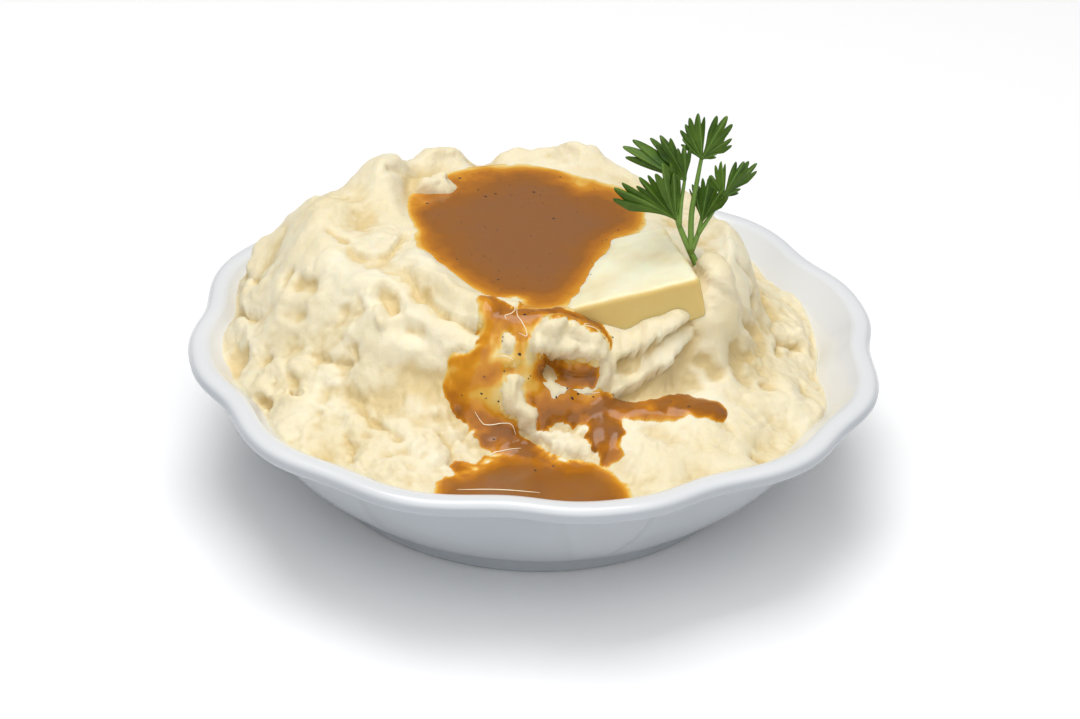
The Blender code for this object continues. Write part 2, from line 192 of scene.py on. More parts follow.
# Half sections of the bowl as radius and height: its inside, its lip and its underside.
inside = rounded([(0.01, 5.6), (24.0, 5.6), (42.0, 5.7), (48.5, 6.4), (54.0, 9.6), (59.4, 13.6), (64.4, 18.9),
                  (68.6, 25.2), (72.6, 30.7), (76.2, 34.4), (77.9, 36.0), (78.9, 36.95)], 6)
lip = rounded([(78.9, 36.95), (80.0, 37.4), (81.4, 37.5), (82.6, 37.3), (83.5, 36.6), (83.95, 35.6),
               (83.9, 34.6), (83.3, 33.9), (82.2, 33.6)], 5)[1:]
underside = rounded([(82.2, 33.6), (80.4, 33.55), (78.9, 33.2), (77.4, 32.0), (74.6, 26.7), (70.4, 19.9),
                     (65.4, 13.7), (59.8, 8.2), (55.2, 4.8), (53.9, 3.6), (53.4, 2.2), (52.9, 0.7),
                     (52.0, 0.05), (50.6, 0.0), (49.2, 0.1), (48.4, 0.7), (47.6, 1.6), (46.0, 1.8),
                     (20.0, 1.8), (0.01, 1.8)], 6)[1:]
section = np.vstack([inside, lip, underside])
angle = np.arange(ROUND_STEPS) * 2.0 * pi / ROUND_STEPS
under_from = len(inside) + len(lip)
strength = petal_strength(section[:, 1])
strength[under_from:] *= 0.85
out = section[:, 0][:, None] * (1.0 + petal(angle)[None, :] * strength[:, None])

# The wall between the lip and the foot is pressed into soft panels: a raised tongue under each
# narrow petal, with a crease down each side, and a shallow fold under the middle of each wide one.
PANEL_RISE = 0.75
FOLD_DEPTH = 0.35
quarter = np.degrees((angle - PETAL_TURN + pi / 4.0) % (pi / 2.0) - pi / 4.0)
wide = np.degrees((angle - PETAL_TURN) % (pi / 2.0) - pi / 4.0)
height = section[:, 1][:, None]
on_wall = np.zeros(len(section))
on_wall[under_from:] = 1.0
on_wall = on_wall[:, None] * soft((height - 6.0) / 10.0) * soft((34.2 - height) / 2.0)
tongue = 6.6 * soft((height - 2.0) / 30.0) ** 0.7 + 1.2
panel = soft((tongue - np.abs(quarter)[None, :]) / 1.1 + 0.5)
fold = np.exp(-(np.abs(wide)[None, :] / 1.6) ** 1.3)
out += on_wall * (PANEL_RISE * panel - FOLD_DEPTH * fold)

rings = np.stack([out * np.cos(angle), out * np.sin(angle), np.repeat(height, ROUND_STEPS, 1)], -1)
# The middle of the floor and of the foot's recess are closed with one small face each.
bowl_faces = ring_faces(len(section), ROUND_STEPS).tolist()
bowl_faces.append(list(range(ROUND_STEPS)))
bowl_faces.append(list(range(len(section) * ROUND_STEPS))[-ROUND_STEPS:])
bowl = mesh_piece("bowl_porcelain", rings.reshape(-1, 3), bowl_faces, glaze_finish())
# Painted shade: from the side of the lip down the outer wall the glaze is coloured a darker blue-grey, for
# the shade there.
WALL_SHADE_FROM = 37.3
WALL_SHADE_OVER = 1.6
outer_wall_shade = np.zeros(len(section))
outer_wall_shade[len(inside):] = soft((WALL_SHADE_FROM - section[len(inside):, 1]) / WALL_SHADE_OVER)
add_value(bowl, "outer_wall_shade", np.repeat(outer_wall_shade, ROUND_STEPS))
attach(bowl, "root")
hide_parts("bowl")


# ---- The mashed potato ------------------------------------------------------------------
# Stiff, creamy mash heaped with a spoon: a broad top with a well pressed in it, a lower bed
# that fills the bowl, and a broken face at the front where folds and torn lumps show.

# Every 30 degrees from +X: shoulder radius and height, toe radius and height, wall height.
HEAP_SIDES = np.array([
    (46, 60.5, 58, 37.5, 28.5),
    (46, 59.5, 60, 37.5, 31.5),
    (47, 60.5, 64, 37.5, 31.5),
    (50, 61.0, 67, 41.0, 33.5),
    (49, 62.5, 68, 42.0, 34.0),
    (51, 60.5, 73, 43.0, 35.0),
    (52, 60.0, 72, 42.5, 34.5),
    (45, 59.5, 69, 39.5, 33.5),
    (41, 59.0, 62, 40.5, 36.0),
    (38, 59.5, 53, 38.0, 35.8),
    (38, 58.0, 50, 42.0, 35.8),
    (43, 57.0, 55, 41.0, 32.0),
], float)
# Spoon-sized rises and dips: x, y, length, width, turn, height.
SPOONFULS = (
    (-39, 27, 6.5, 10, 0, 7.5),
    (-60, 24, 8, 11, 0, 7.5),
    (-70, 20, 6, 8, 0, 2.0),
    (-56, 4, 9, 10, 0, 2.0),
    (-26, 46, 8, 5, 0, 2.5),
    (-15, 47, 4, 6, 0, -4.5),
    (-3, 47, 8, 5, 0, -1.5),
    (8, 48, 11, 5, 0, 3.0),
    (48, 12, 6, 8, 0, 1.5),
    (67, 6, 6, 9, 0, 5.0),
    (42, -17, 3.0, 8, 12, 7.0),
    (12, -38, 5, 4, 0, -2.0),
    (21, -36, 6, 5, 10, -6.0),
    (41, -27, 4, 4, 0, 4.0),
)
WELL_LEVEL = 60.0
WELL_DEPTH = 7.0
WELL_MIDDLE = (-2.0, 3.0)
WELL_RADIUS = 32.0
# How the waterline leaves a circle: waves round it, size in mm and phase in degrees.
WELL_WAVES = ((1, 4.65, 117), (2, 6.4, -177), (3, 2.9, 88), (4, 1.0, 64), (5, 0.8, -56), (6, 0.8, 180))
# The pool against the front of the rim lies in a hollow of the bed.
FRONT_LEVEL = 35.4
FRONT_DEPTH = 3.4
FRONT_MIDDLE = (0.5, -76.0)
FRONT_HALF = (21.5, 20.0)
# The bowl's inner wall: heights, and the radius at each.
WALL_LINE = ((5.6, 12.0, 17.0, 22.5, 28.6, 36.6), (48.5, 57.7, 62.7, 67.0, 70.7, 78.4))


def around_heap(direction):
    """The heap's sizes in a direction, run smoothly through the listed ones."""
    turn = (direction / (2.0 * pi) % 1.0) * len(HEAP_SIDES)
    first = np.floor(turn).astype(int)
    share = (turn - first)[..., None]
    a, b, c, d = (HEAP_SIDES[(first + shift) % len(HEAP_SIDES)] for shift in (-1, 0, 1, 2))
    sizes = b + 0.5 * share * (c - a + share * (2 * a - 5 * b + 4 * c - d + share * (3 * (b - c) + d - a)))
    return np.moveaxis(sizes, -1, 0)


def wall_radius(height, direction):
    """Radius inside the bowl at a height."""
    return np.interp(height, *WALL_LINE) * (1.0 + petal(direction) * petal_strength(height))


def well_edge(direction):
    """How far the waterline lies from the middle of the well."""
    return WELL_RADIUS + sum(size * np.cos(count * direction - radians(phase))
                             for count, size, phase in WELL_WAVES)


def heap_top(x, y):
    """Height of the heap over a point, before folds, dimples and tears."""
    radius = np.hypot(x, y)
    direction = np.arctan2(y, x)
    shoulder, shoulder_z, toe, toe_z, edge_z = around_heap(direction)
    edge = wall_radius(edge_z, direction)
    from_well = np.hypot(x - WELL_MIDDLE[0], y - WELL_MIDDLE[1])
    shore = well_edge(np.arctan2(y - WELL_MIDDLE[1], x - WELL_MIDDLE[0]))
    well = WELL_LEVEL - WELL_DEPTH * (1.0 - (from_well / shore) ** 2)
    top = WELL_LEVEL + (shoulder_z - WELL_LEVEL) * soft((from_well - shore) / 8.0)
    top = np.where(from_well < shore, well, top)
    slope = shoulder_z + (toe_z - shoulder_z) * soft((radius - shoulder) / (toe - shoulder))
    bed = toe_z + (edge_z - toe_z) * np.clip((radius - toe) / (edge - toe), 0.0, 1.0)
    level = np.where(radius < shoulder, top, np.where(radius < toe, slope, bed))
    level = np.where((radius >= shoulder) & (from_well < shore), np.minimum(level, well), level)
    from_front = np.hypot((x - FRONT_MIDDLE[0]) / FRONT_HALF[0], (y - FRONT_MIDDLE[1]) / FRONT_HALF[1])
    hollow_bed = FRONT_LEVEL - FRONT_DEPTH * (1.0 - from_front ** 2)
    hollow_side = FRONT_LEVEL + (level - FRONT_LEVEL) * soft((from_front - 1.0) / 0.3)
    hollow_side = np.maximum(hollow_side, FRONT_LEVEL)
    level = np.where(from_front < 1.0, np.minimum(level, hollow_bed),
                     np.where(from_front < 1.3, np.minimum(level, hollow_side), level))
    for cx, cy, length, width, turn, rise in SPOONFULS:
        along = ((x - cx) * cos(radians(turn)) + (y - cy) * sin(radians(turn))) / length
        across = ((y - cy) * cos(radians(turn)) - (x - cx) * sin(radians(turn))) / width
        keep = soft((edge - radius) / 5.0) * soft((from_well - shore) / 4.0)
        level = level + rise * np.exp(-(along * along + across * across)) * keep
    return level


def scatter_code(cells, seed):
    """A steady random number from 0 to 1 for each whole-numbered cell."""
    cells = cells.astype(np.int64)
    code = (cells[..., 0] * 73856093) ^ (cells[..., 1] * 19349663) ^ (cells[..., 2] * 83492791)
    code = code ^ (seed * 2654435)
    code = (code ^ (code >> 13)) * 1274126177 & 0x7FFFFFFF
    code = (code ^ (code >> 16)) * 668265263 & 0x7FFFFFFF
    return ((code ^ (code >> 15)) & 0xFFFFFF) / float(0xFFFFFF)


def swell(points, size, seed):
    """Soft random ups and downs, about -1 to 1, with lumps of one size in mm."""
    place = points / size + 11.7 * seed
    cell = np.floor(place)
    inner = place - cell
    blend = inner ** 3 * (inner * (inner * 6.0 - 15.0) + 10.0)
    total = np.zeros(points.shape[:-1])
    for corner in np.ndindex(2, 2, 2):
        corner = np.array(corner, float)
        spin = scatter_code(cell + corner, seed) * 2.0 * pi
        lift = scatter_code(cell + corner, seed + 57) * 2.0 - 1.0
        flat = np.sqrt(1.0 - lift * lift)
        gradient = np.stack([flat * np.cos(spin), flat * np.sin(spin), lift], -1)
        weight = np.prod(np.where(corner > 0.5, blend, 1.0 - blend), -1)
        total += weight * np.sum(gradient * (inner - corner), -1)
    return total * 1.6


def pillows(points, size, seed):
    """Rounded lumps that meet in creases: 1 on a lump's crown, falling to 0 in the creases."""
    place = points / size + 5.3 * seed
    cell = np.floor(place)
    nearest = np.full(points.shape[:-1], 9.0)
    for corner in np.ndindex(3, 3, 3):
        other = cell + np.array(corner, float) - 1.0
        middle = other + np.stack([scatter_code(other, seed + k) for k in (1, 2, 3)], -1)
        nearest = np.minimum(nearest, np.sum((place - middle) ** 2, -1))
    return 1.0 - np.clip(nearest, 0.0, 1.0)


def to_line(points, line):
    """Distance of each point from a run of straight stretches, with how far along it lies."""
    if len(line) == 1:
        return np.linalg.norm(points - line[0], axis=-1), np.zeros(points.shape[:-1])
    best = np.full(points.shape[:-1], 1e9)
    along = np.zeros(points.shape[:-1])
    for number, (start, end) in enumerate(zip(line[:-1], line[1:])):
        run = end - start
        share = np.clip(((points - start) @ run) / (run @ run), 0.0, 1.0)
        gap = np.linalg.norm(points - start - share[..., None] * run, axis=-1)
        along = np.where(gap < best, (number + share) / (len(line) - 1), along)
        best = np.minimum(best, gap)
    return best, along


# The heap's skin is a square grid drawn out into rings, its border on the wall of the bowl.
GRID = 300
INTO_WALL = 0.5
grid = np.linspace(-1.0, 1.0, GRID + 1)
across, up = np.meshgrid(grid, grid, indexing="ij")
share = np.maximum(np.abs(across), np.abs(up))
with np.errstate(divide="ignore", invalid="ignore"):
    sideways = np.abs(across) > np.abs(up)
    turn = np.where(sideways, pi / 4.0 * np.nan_to_num(up / across),
                    pi / 2.0 - pi / 4.0 * np.nan_to_num(across / up))
turn = np.where(np.where(sideways, across, up) < 0.0, turn + pi, turn)
turn[share < 1e-9] = 0.0
edge_z = around_heap(turn)[4]
reach = wall_radius(edge_z, turn) + INTO_WALL
# Rings lie closer together towards the rim than in the middle, under the gravy.
radius = reach * (share * 0.62 + 0.38 * (1.0 - (1.0 - share) ** 1.6))
mash_x = radius * np.cos(turn)
mash_y = radius * np.sin(turn)
mash = np.stack([mash_x, mash_y, heap_top(mash_x, mash_y)], -1)


def facing(points):
    """Outward direction at each point of the grid."""
    normal = np.cross(np.gradient(points, axis=0), np.gradient(points, axis=1))
    return normal / np.maximum(np.linalg.norm(normal, axis=-1, keepdims=True), 1e-9)


def relax(points, times):
    """Even out a grid of points or values, holding its border."""
    points = points.copy()
    for _ in range(times):
        middle = (points[:-2, 1:-1] + points[2:, 1:-1] + points[1:-1, :-2] + points[1:-1, 2:]) / 4.0
        points[1:-1, 1:-1] = middle * 0.7 + points[1:-1, 1:-1] * 0.3
    return points


mash = relax(mash, 6)
outward = relax(facing(mash), 8)
outward /= np.linalg.norm(outward, axis=-1, keepdims=True)

# Folds, lumps, dimples and tears: kind, height, half width, and the points it runs through.
MARKS = (
    ("dome", 2.2, 4.6, ((4.2, -40.8), (7.1, -39.7), (11.3, -38.8))),
    ("pit", 4.4, 3.0, ((1.5, -44.1), (6, -43.7), (12.4, -42.3))),
    ("dome", 1.1, 1.7, ((2.3, -39.7), (5, -38.5))),
    ("dome", 0.9, 1.5, ((7.2, -41.7),)),
    ("pit", 0.9, 1.4, ((6.2, -39.6),)),
    ("crease", 1.2, 0.8, ((4.9, -41.1), (7.1, -40), (9.9, -39.9))),
    ("dome", 0.8, 1.6, ((8.4, -38.1), (12.6, -37.4))),
    ("dome", 1.6, 2.0, ((0.2, -42.5),)),
    ("dome", 1.0, 2.6, ((-6.1, -42.5), (-5.4, -43.9))),
    ("dome", 2.2, 2.4, ((-4.7, -46.8), (-4.6, -48.7), (-1.3, -50))),
    ("dome", 1.2, 3.0, ((3.8, -53.2), (11.1, -56.2))),
    ("dome", 0.9, 2.2, ((0.8, -51.3),)),
    ("dome", 1.0, 1.8, ((-8.6, -32.4), (-4.9, -33.4))),
    ("dome", 3.2, 3.6, ((-29.1, 27.3), (-24.4, 28.6))),
    ("dome", 1.6, 2.4, ((-26.3, 31.2),)),
    ("swell", 1.6, 3.2, ((-28.7, -10.7), (-23.3, -21.7), (-17.8, -29.8), (-12.1, -35.7))),
    ("swell", -1.4, 3.4, ((-27, -23.1), (-20.6, -33.4), (-13.5, -39.8))),
    ("swell", -1.0, 3.0, ((-42.2, 6.7),)),
    ("swell", -1.2, 5.0, ((-24.7, -41.7), (-20.1, -43.1))),
    ("pit", 2.6, 3.4, ((-34.6, -26.3), (-33.3, -31.9))),
    ("dome", 1.3, 1.3, ((-36.4, -29.9), (-35.2, -33.4), (-34.4, -35.4))),
    ("swell", -2.0, 5.0, ((-42.7, -28.9),)),
    ("swell", 1.0, 3.0, ((-42.8, -22.9), (-39.5, -25.6))),
    ("pit", 1.2, 3.0, ((-56.9, -13.6), (-53.4, -17.1))),
    ("pit", 1.3, 3.2, ((-57.4, -18.6), (-55.3, -20.5))),
    ("pit", 1.2, 3.0, ((-29.7, -37.6), (-27.1, -39))),
    ("crease", 1.4, 0.9, ((-60, -10), (-58.5, -7.6))),
    ("crease", 1.5, 1.0, ((-76.1, 27), (-70.9, 8.4), (-67.3, 1.7))),
    ("crease", 1.4, 1.0, ((-77, 6.9), (-71.4, -7), (-67.3, -11.1))),
    ("crease", 1.2, 0.9, ((-49.8, -33.6), (-46.3, -36.2), (-42.9, -38.2))),
    ("crease", 1.0, 0.8, ((-42, -35.7), (-40.6, -38.7))),
    ("crease", 1.0, 1.2, ((-37.4, 24.2), (-35.5, 25.8))),
    ("pit", 1.0, 3.0, ((2.2, 47.9), (6.3, 45.5))),
    ("swell", -1.4, 3.2, ((-70.8, -20.7),)),
    ("swell", -1.6, 3.4, ((-65, -23.8), (-64.2, -28.6))),
    ("pit", 1.6, 3.6, ((-60.6, -33.7), (-56.4, -37.6))),
    ("pit", 1.8, 1.4, ((-56.3, -39), (-53.9, -41.5))),
    ("pit", 1.8, 1.5, ((-63.3, -35.8), (-60.4, -39.9))),
    ("crease", 1.6, 1.1, ((-42.4, -44.3), (-39.1, -46.4))),
    ("swell", -1.8, 6.5, ((-30.5, -45.2), (-23.6, -47.2))),
    ("crease", 1.3, 1.1, ((-41.6, -56.1), (-39.7, -59.7), (-39.6, -63.7))),
    ("crease", 1.3, 1.1, ((-38.4, -49.5), (-33.9, -54.2), (-29.2, -58.2))),
    ("crease", 1.5, 1.1, ((-20.1, -56.1), (-17.5, -59.2), (-15.5, -64.3))),
    ("crease", 1.5, 1.0, ((-50.1, 0.2), (-46.1, -3.2))),
    ("swell", -2.0, 4.5, ((41.1, 4.7), (45.3, -6.8))),
    ("swell", 1.8, 6.0, ((41.8, -20.9), (44.5, -21.6))),
    ("pit", 1.4, 3.0, ((49.1, -14.4), (52.9, -9.8))),
    ("pit", 1.3, 2.6, ((46.4, -23.1), (49.1, -20.6))),
    ("pit", 1.4, 3.0, ((39.9, -31), (42.4, -31.2))),
    ("crease", 1.3, 1.0, ((35.8, -27.7), (37.5, -28.7))),
    ("crease", 1.8, 1.1, ((59.6, -2.9), (65.2, -0.4))),
    ("crease", 1.5, 0.9, ((59.2, -5.1), (58.5, -11.7))),
    ("crease", 1.4, 1.0, ((50.3, -54.7), (53.9, -55.2))),
    ("crease", 1.2, 1.0, ((49.3, 0.1), (52.7, 4.7), (52.2, -3.5))),
    ("swell", 1.2, 5.0, ((61.3, 15.3),)),
    ("pit", 0.9, 2.2, ((55.1, -27.9),)),
    ("swell", 1.0, 6.0, ((61.1, -19.7), (57.6, -34.2))),
)


def lifted(places):
    """Put places given as x and y on the heap."""
    places = np.array(places, float)
    return np.column_stack([places, heap_top(places[:, 0], places[:, 1])])


def shape_marks(points, marks):
    """Add up the height of every mark at each point."""
    total = np.zeros(points.shape[:-1])
    for kind, rise, width, places in marks:
        line = lifted(places)
        near = np.all((points > line.min(0) - 3.0 * width) & (points < line.max(0) + 3.0 * width), -1)
        if not near.any():
            continue
        spot = points[near]
        waver = np.stack([swell(spot, 1.3 * width, seed) for seed in (61, 62, 63)], -1)
        shifted = spot + 0.28 * width * waver
        gap = to_line(shifted, line)[0] / width
        if kind == "swell":
            add = rise * np.exp(-gap * gap)
        elif kind == "dome":
            add = rise * np.sqrt(np.clip(1.0 - gap * gap, 0.0, 1.0))
        elif kind == "pit":
            add = -rise * (np.exp(-(gap * 1.15) ** 2) - 0.22 * np.exp(-((gap - 1.25) / 0.45) ** 2))
        elif kind == "crease":
            add = -rise * np.exp(-gap) * soft((3.0 - gap) / 2.0)
        total[near] += add
    return total


def shape_flaps(points, flaps):
    """A flap is raised on the left of its run, and drops sharply at the run itself."""
    total = np.zeros(points.shape[:-1])
    for rise, width, places in flaps:
        line = lifted(places)
        near = np.all((points > line.min(0) - 2.5 * width) & (points < line.max(0) + 2.5 * width), -1)
        spot = points[near]
        gap, along = to_line(spot, line)
        flat = line[:, :2]
        first = np.clip((along * (len(line) - 1)).astype(int), 0, len(line) - 2)
        run = flat[first + 1] - flat[first]
        side = run[:, 0] * (spot[:, 1] - flat[first, 1]) - run[:, 1] * (spot[:, 0] - flat[first, 0])
        side = np.sign(side) * gap + 0.35 * swell(spot, 2.2, 8)
        ends = soft(along / 0.12) * soft((1.0 - along) / 0.12)
        step = soft(side / 0.8 + 0.5)
        raised = 0.45 * step * np.exp(-np.clip(side, 0.0, None) / width)
        dropped = 0.55 * (1.0 - step) * np.exp(np.clip(side, None, 0.0) / (0.6 * width))
        total[near] += rise * ends * (raised - dropped)
    return total


# Flaps: height, width, and the points along the edge where each drops.
FLAPS = (
    (2.2, 5.0, ((-30.3, -15.4), (-27, -22.6), (-23.4, -28.9), (-18.9, -35.2), (-13.8, -38.6),
                (-10.8, -39.2))),
    (2.0, 4.5, ((-45.8, -5), (-42.6, -8.9), (-39.1, -10.6), (-35.9, -9.3), (-33.7, -3.1), (-33, 3.7))),
    (4.6, 3.6, ((16.9, -38.7), (20.2, -35.9), (24.7, -34.3), (29.3, -32.5), (36.7, -26.2))),
    (5.4, 4.6, ((16.7, -44.7), (21.3, -40.8), (25.7, -37.7), (30, -35.6), (37.3, -28.5))),
    (1.2, 4.0, ((-21.2, -43.3), (-16.2, -43), (-11.7, -43.9))),
    (1.5, 4.0, ((39.2, -14), (40.8, -20), (43.3, -20.6))),
)
# Places torn to crumbs: x, y, radius and how strongly.
TORN = (
    (4.2, -40.2, 4, 1.0), (9.2, -39.6, 4.5, 1.0), (0.2, -42.6, 3, 0.8), (-4.6, -47.6, 4, 0.7),
    (17.1, -41.4, 4, 0.8), (24.3, -34.1, 5, 0.45), (30.6, -30.8, 5, 0.45), (24.5, -37.1, 5, 0.55),
    (31.7, -33, 5, 0.4), (38.7, -5.1, 5, 0.5), (3.2, -53.1, 7.5, 1.0), (9.9, -55.1, 7, 0.9),
    (-13.5, -57.9, 6.5, 0.8), (-17.6, -65, 5, 0.8), (17.9, -39.6, 4.5, 0.7), (-0.5, -47.7, 5, 0.6),
    (-35.4, -58.8, 9, 0.45), (-29.6, -68.4, 8, 0.5), (-22.2, -63, 7, 0.7), (-6.6, -42.3, 5, 0.7),
    (17.6, -42.9, 4, 0.8), (24.3, -60.7, 7, 0.35), (48.6, -17.6, 7, 0.4), (65.3, 3.7, 7, 0.45),
    (26.5, -66.9, 6, 0.4), (-21.3, -41.5, 7, 0.3), (-60.9, -35.9, 8, 0.35), (36.1, -33.4, 6, 0.35),
)

from_well = np.hypot(mash_x - WELL_MIDDLE[0], mash_y - WELL_MIDDLE[1])
shore = well_edge(np.arctan2(mash_y - WELL_MIDDLE[1], mash_x - WELL_MIDDLE[0]))
from_front = np.hypot((mash_x - FRONT_MIDDLE[0]) / FRONT_HALF[0], (mash_y - FRONT_MIDDLE[1]) / FRONT_HALF[1])
# The gravy has smoothed the mash along its shores.
calm_shore = 0.2 + 0.8 * soft(np.abs(from_well - shore) / 6.0)
calm_shore *= 0.15 + 0.85 * soft(np.abs(from_front - 1.0) / 0.3)
lift = 1.3 * shape_marks(mash, MARKS) + shape_flaps(mash, FLAPS)
rolling = 1.8 * swell(mash, 14.0, 1) + 0.9 * swell(mash, 7.0, 2)
quiet = soft((np.hypot(mash[..., 0], mash[..., 1]) - 20.0) / 10.0)
border = soft((1.0 - share) / 0.03)
smooth_mash = mash + outward * ((lift + rolling * quiet * calm_shore) * (0.25 + 0.75 * border))[..., None]

torn = np.zeros(share.shape)
for x, y, size, amount in TORN:
    torn = np.maximum(torn, amount * np.exp(-(np.hypot(mash[..., 0] - x, mash[..., 1] - y) / size) ** 2))
outward = relax(facing(smooth_mash), 3)
outward /= np.linalg.norm(outward, axis=-1, keepdims=True)
warped = smooth_mash + 1.6 * np.stack([swell(smooth_mash, 5.0, seed) for seed in (21, 22, 23)], -1)
creamy = 1.1 * (pillows(warped, 8.0, 4) - 0.6) - 0.35 * np.exp(-np.abs(swell(warped, 9.0, 14)) / 0.09)
creamy += 0.42 * swell(warped, 3.4, 5) + 0.24 * swell(smooth_mash, 1.9, 6)
creamy += 0.13 * swell(smooth_mash, 1.1, 13)
crumbly = 1.7 * (pillows(warped, 3.4, 7) - 0.6) + 1.1 * (pillows(warped, 1.7, 9) - 0.6)
fine = creamy * calm_shore * (0.45 + 0.55 * soft(swell(mash, 17.0, 12) + 0.6)) + crumbly * torn
mash_skin = smooth_mash + outward * (fine * (0.3 + 0.7 * border))[..., None]

# How deep each point lies in a hollow, near and wide. The finish uses it to paint shade into the hollows, in
# a darker, warmer colour.
near_calm = relax(mash_skin, 30)
wide_calm = relax(near_calm, 220)
hollow = (1.0 * np.clip(np.sum((near_calm - mash_skin) * outward, -1), -0.6, 1.2)
          + 0.55 * np.clip(np.sum((wide_calm - mash_skin) * outward, -1), -1.0, 2.0)) * border
# Where the spoon pulled mash away it is left grainy.
grain = 0.9 * (pillows(warped, 1.9, 17) - 0.6) + 0.35 * swell(warped, 1.0, 18)
fine = fine + grain * np.clip(0.12 + 0.6 * hollow, 0.0, 0.6) * calm_shore * border
mash_skin = smooth_mash + outward * (fine * (0.3 + 0.7 * border))[..., None]


def grid_faces(count):
    """Quads of a square grid with a count of cells each way."""
    low = np.arange(count * (count + 1)).reshape(count, count + 1)[:, :-1].ravel()
    return np.stack([low, low + count + 1, low + count + 2, low + 1], 1)


def border_loop(count):
    """Numbers of the grid's border points, in order round the heap."""
    number = np.arange((count + 1) ** 2).reshape(count + 1, count + 1)
    return np.concatenate([number[:-1, 0], number[-1, :-1], number[:0:-1, -1], number[0, :0:-1]])


def mash_finish():
    material, nodes, links, shader = new_finish("mash", 0.5)
    patch = link_noise(nodes, links, 45.0, 4.0, 0.6)
    # Painted shade: the second, darker and warmer colours are laid into the hollows by the kept value.
    link_blend(nodes, links, patch.outputs["Fac"],
               [(0.30, (0.81, 0.70, 0.44)), (0.50, (0.85, 0.76, 0.53)), (0.72, (0.90, 0.84, 0.65))],
               [(0.35, (0.69, 0.53, 0.25)), (0.65, (0.74, 0.60, 0.33))], "hollow", shader)
    sheen = link_noise(nodes, links, 260.0, 3.0)
    link_gloss(nodes, links, sheen.outputs["Fac"], 0.42, 0.62, shader)
    grains = link_noise(nodes, links, 1100.0, 4.0, 0.7)
    link_bump(nodes, links, grains.outputs["Fac"], shader, 0.0004, 0.5)
    shader.inputs["Subsurface Weight"].default_value = 0.35
    shader.inputs["Subsurface Radius"].default_value = (1.0, 0.75, 0.4)
    shader.inputs["Subsurface Scale"].default_value = 0.0013
    shader.inputs["Specular IOR Level"].default_value = 0.35
    return material


# The heap is closed down the bowl's wall and across its floor.
MASH_FLOOR = 6.0
points = [mash_skin.reshape(-1, 3)]
faces = grid_faces(GRID).tolist()
loop = border_loop(GRID)
wall_turn = turn.ravel()[loop]
count = len(points[0])
previous = loop
for height in (0.8, 0.6, 0.4, 0.2, 0.0):
    level = MASH_FLOOR + (edge_z.ravel()[loop] - 7.5) * height
    inner = wall_radius(level, wall_turn) + 0.3
    points.append(np.column_stack([inner * np.cos(wall_turn), inner * np.sin(wall_turn), level]))
    below = np.arange(count, count + len(loop))
    faces += np.stack([previous, np.roll(previous, -1), np.roll(below, -1), below], 1)[:, ::-1].tolist()
    previous = below
    count += len(loop)
points.append(np.array([[0.0, 0.0, MASH_FLOOR]]))
faces += [(int(a), int(b), count)[::-1] for a, b in zip(previous, np.roll(previous, -1))]
heap = mesh_piece("mash_heap", np.vstack(points), faces, mash_finish())
hollow_shade = np.clip((hollow.ravel() + 0.08) / 1.1, 0.0, 1.0)
add_value(heap, "hollow", np.concatenate([hollow_shade, np.zeros(count + 1 - len(hollow_shade))]))
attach(heap, "root")
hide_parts("mash")


# ---- The gravy --------------------------------------------------------------------------
# Brown gravy ladled into the well. It stands level there, spills over the low front lip,
# runs down the broken face as a film, and gathers against the rim and in a tongue on the right.

# Runs over the mash: thickness, then points of x, y and half width.
RUNS = (
    (0.85, ((-9.9, -33.5, 3.3), (-9.2, -40.2, 4.2), (-9.9, -42.9, 4.7), (-10.3, -44.8, 5.2))),
    (0.51, ((-4.6, -36, 3.8), (0, -38, 4.2), (5.7, -37.7, 3.8), (12.1, -36.6, 2.4))),
    (1.1, ((5.6, -34.8, 2.6), (10.7, -35.8, 3.1), (14.9, -36.1, 3.5), (15.5, -38, 2.8))),
    (1.02, ((-13.8, -45.6, 6.1), (-14.6, -48.1, 6.1), (-10.4, -48.7, 5.6))),
    (0.85, ((-18.2, -47.2, 2.4), (-18.1, -48.8, 2.1))),
    (1.02, ((-11.7, -50.2, 5.2), (-8.4, -52.2, 6.4), (-7, -54, 4.7))),
    (0.9, ((-6.5, -55.1, 3.3), (-2.3, -56.6, 4), (0.4, -59, 4.2))),
    (0.59, ((-4.7, -40.5, 3.3), (-3.6, -43.3, 3.8), (-3.9, -45.6, 3.3))),
    (1.02, ((-1.8, -43.7, 2.8), (-0.2, -46.1, 3.8), (0.4, -48.2, 3.8))),
    (1.27, ((2.9, -47.3, 3.8), (8.5, -45.5, 3.8), (13.4, -42.9, 2.6))),
    (1.02, ((12.7, -38.6, 2.8), (13.7, -41, 2.1), (13.4, -43.3, 2.1))),
    (3.0, ((1, -43.8, 1.6), (6.4, -43.4, 1.9), (12.4, -42.1, 2.1))),
    (1.5, ((3.2, -48.4, 3.3), (10.9, -47.1, 4.5), (17.7, -46.4, 4), (24.5, -46.4, 3.5))),
    (1.3, ((24.5, -46.4, 3.5), (30, -45, 4.2), (36, -43.7, 4.9), (40.6, -43.1, 3.8))),
    (1.2, ((15.9, -49.3, 4), (16.8, -55.3, 5.2), (17.7, -58.2, 3.3), (16.4, -60.8, 1.2))),
    (1.2, ((2.8, -49.2, 3.1), (2.6, -50.9, 2.1))),
)
# Lumps the gravy has left bare: x, y and radius.
BARE = (
    ((2.8, -40.5, 2.4), (6.2, -40.3, 3.1), (9, -40.1, 2.4)),
    ((4.1, -42.2, 2.1), (7.3, -41.9, 2.6), (9.5, -41, 1.9)),
    ((-4.5, -46.8, 1.9), (-4.3, -48.6, 2.1), (-1.1, -50, 1.9)),
    ((-6.2, -42, 1.4), (-5.9, -43.4, 1.2)),
    ((0.4, -42.5, 1.6),),
    ((-8.1, -31.8, 1.2), (-5.1, -33.6, 1.2)),
    ((4.2, -44.5, 2.1),),
    ((-14.5, -41.9, 1.4), (-16.3, -42.8, 1.9)),
)
FILM_UNDER = 0.8
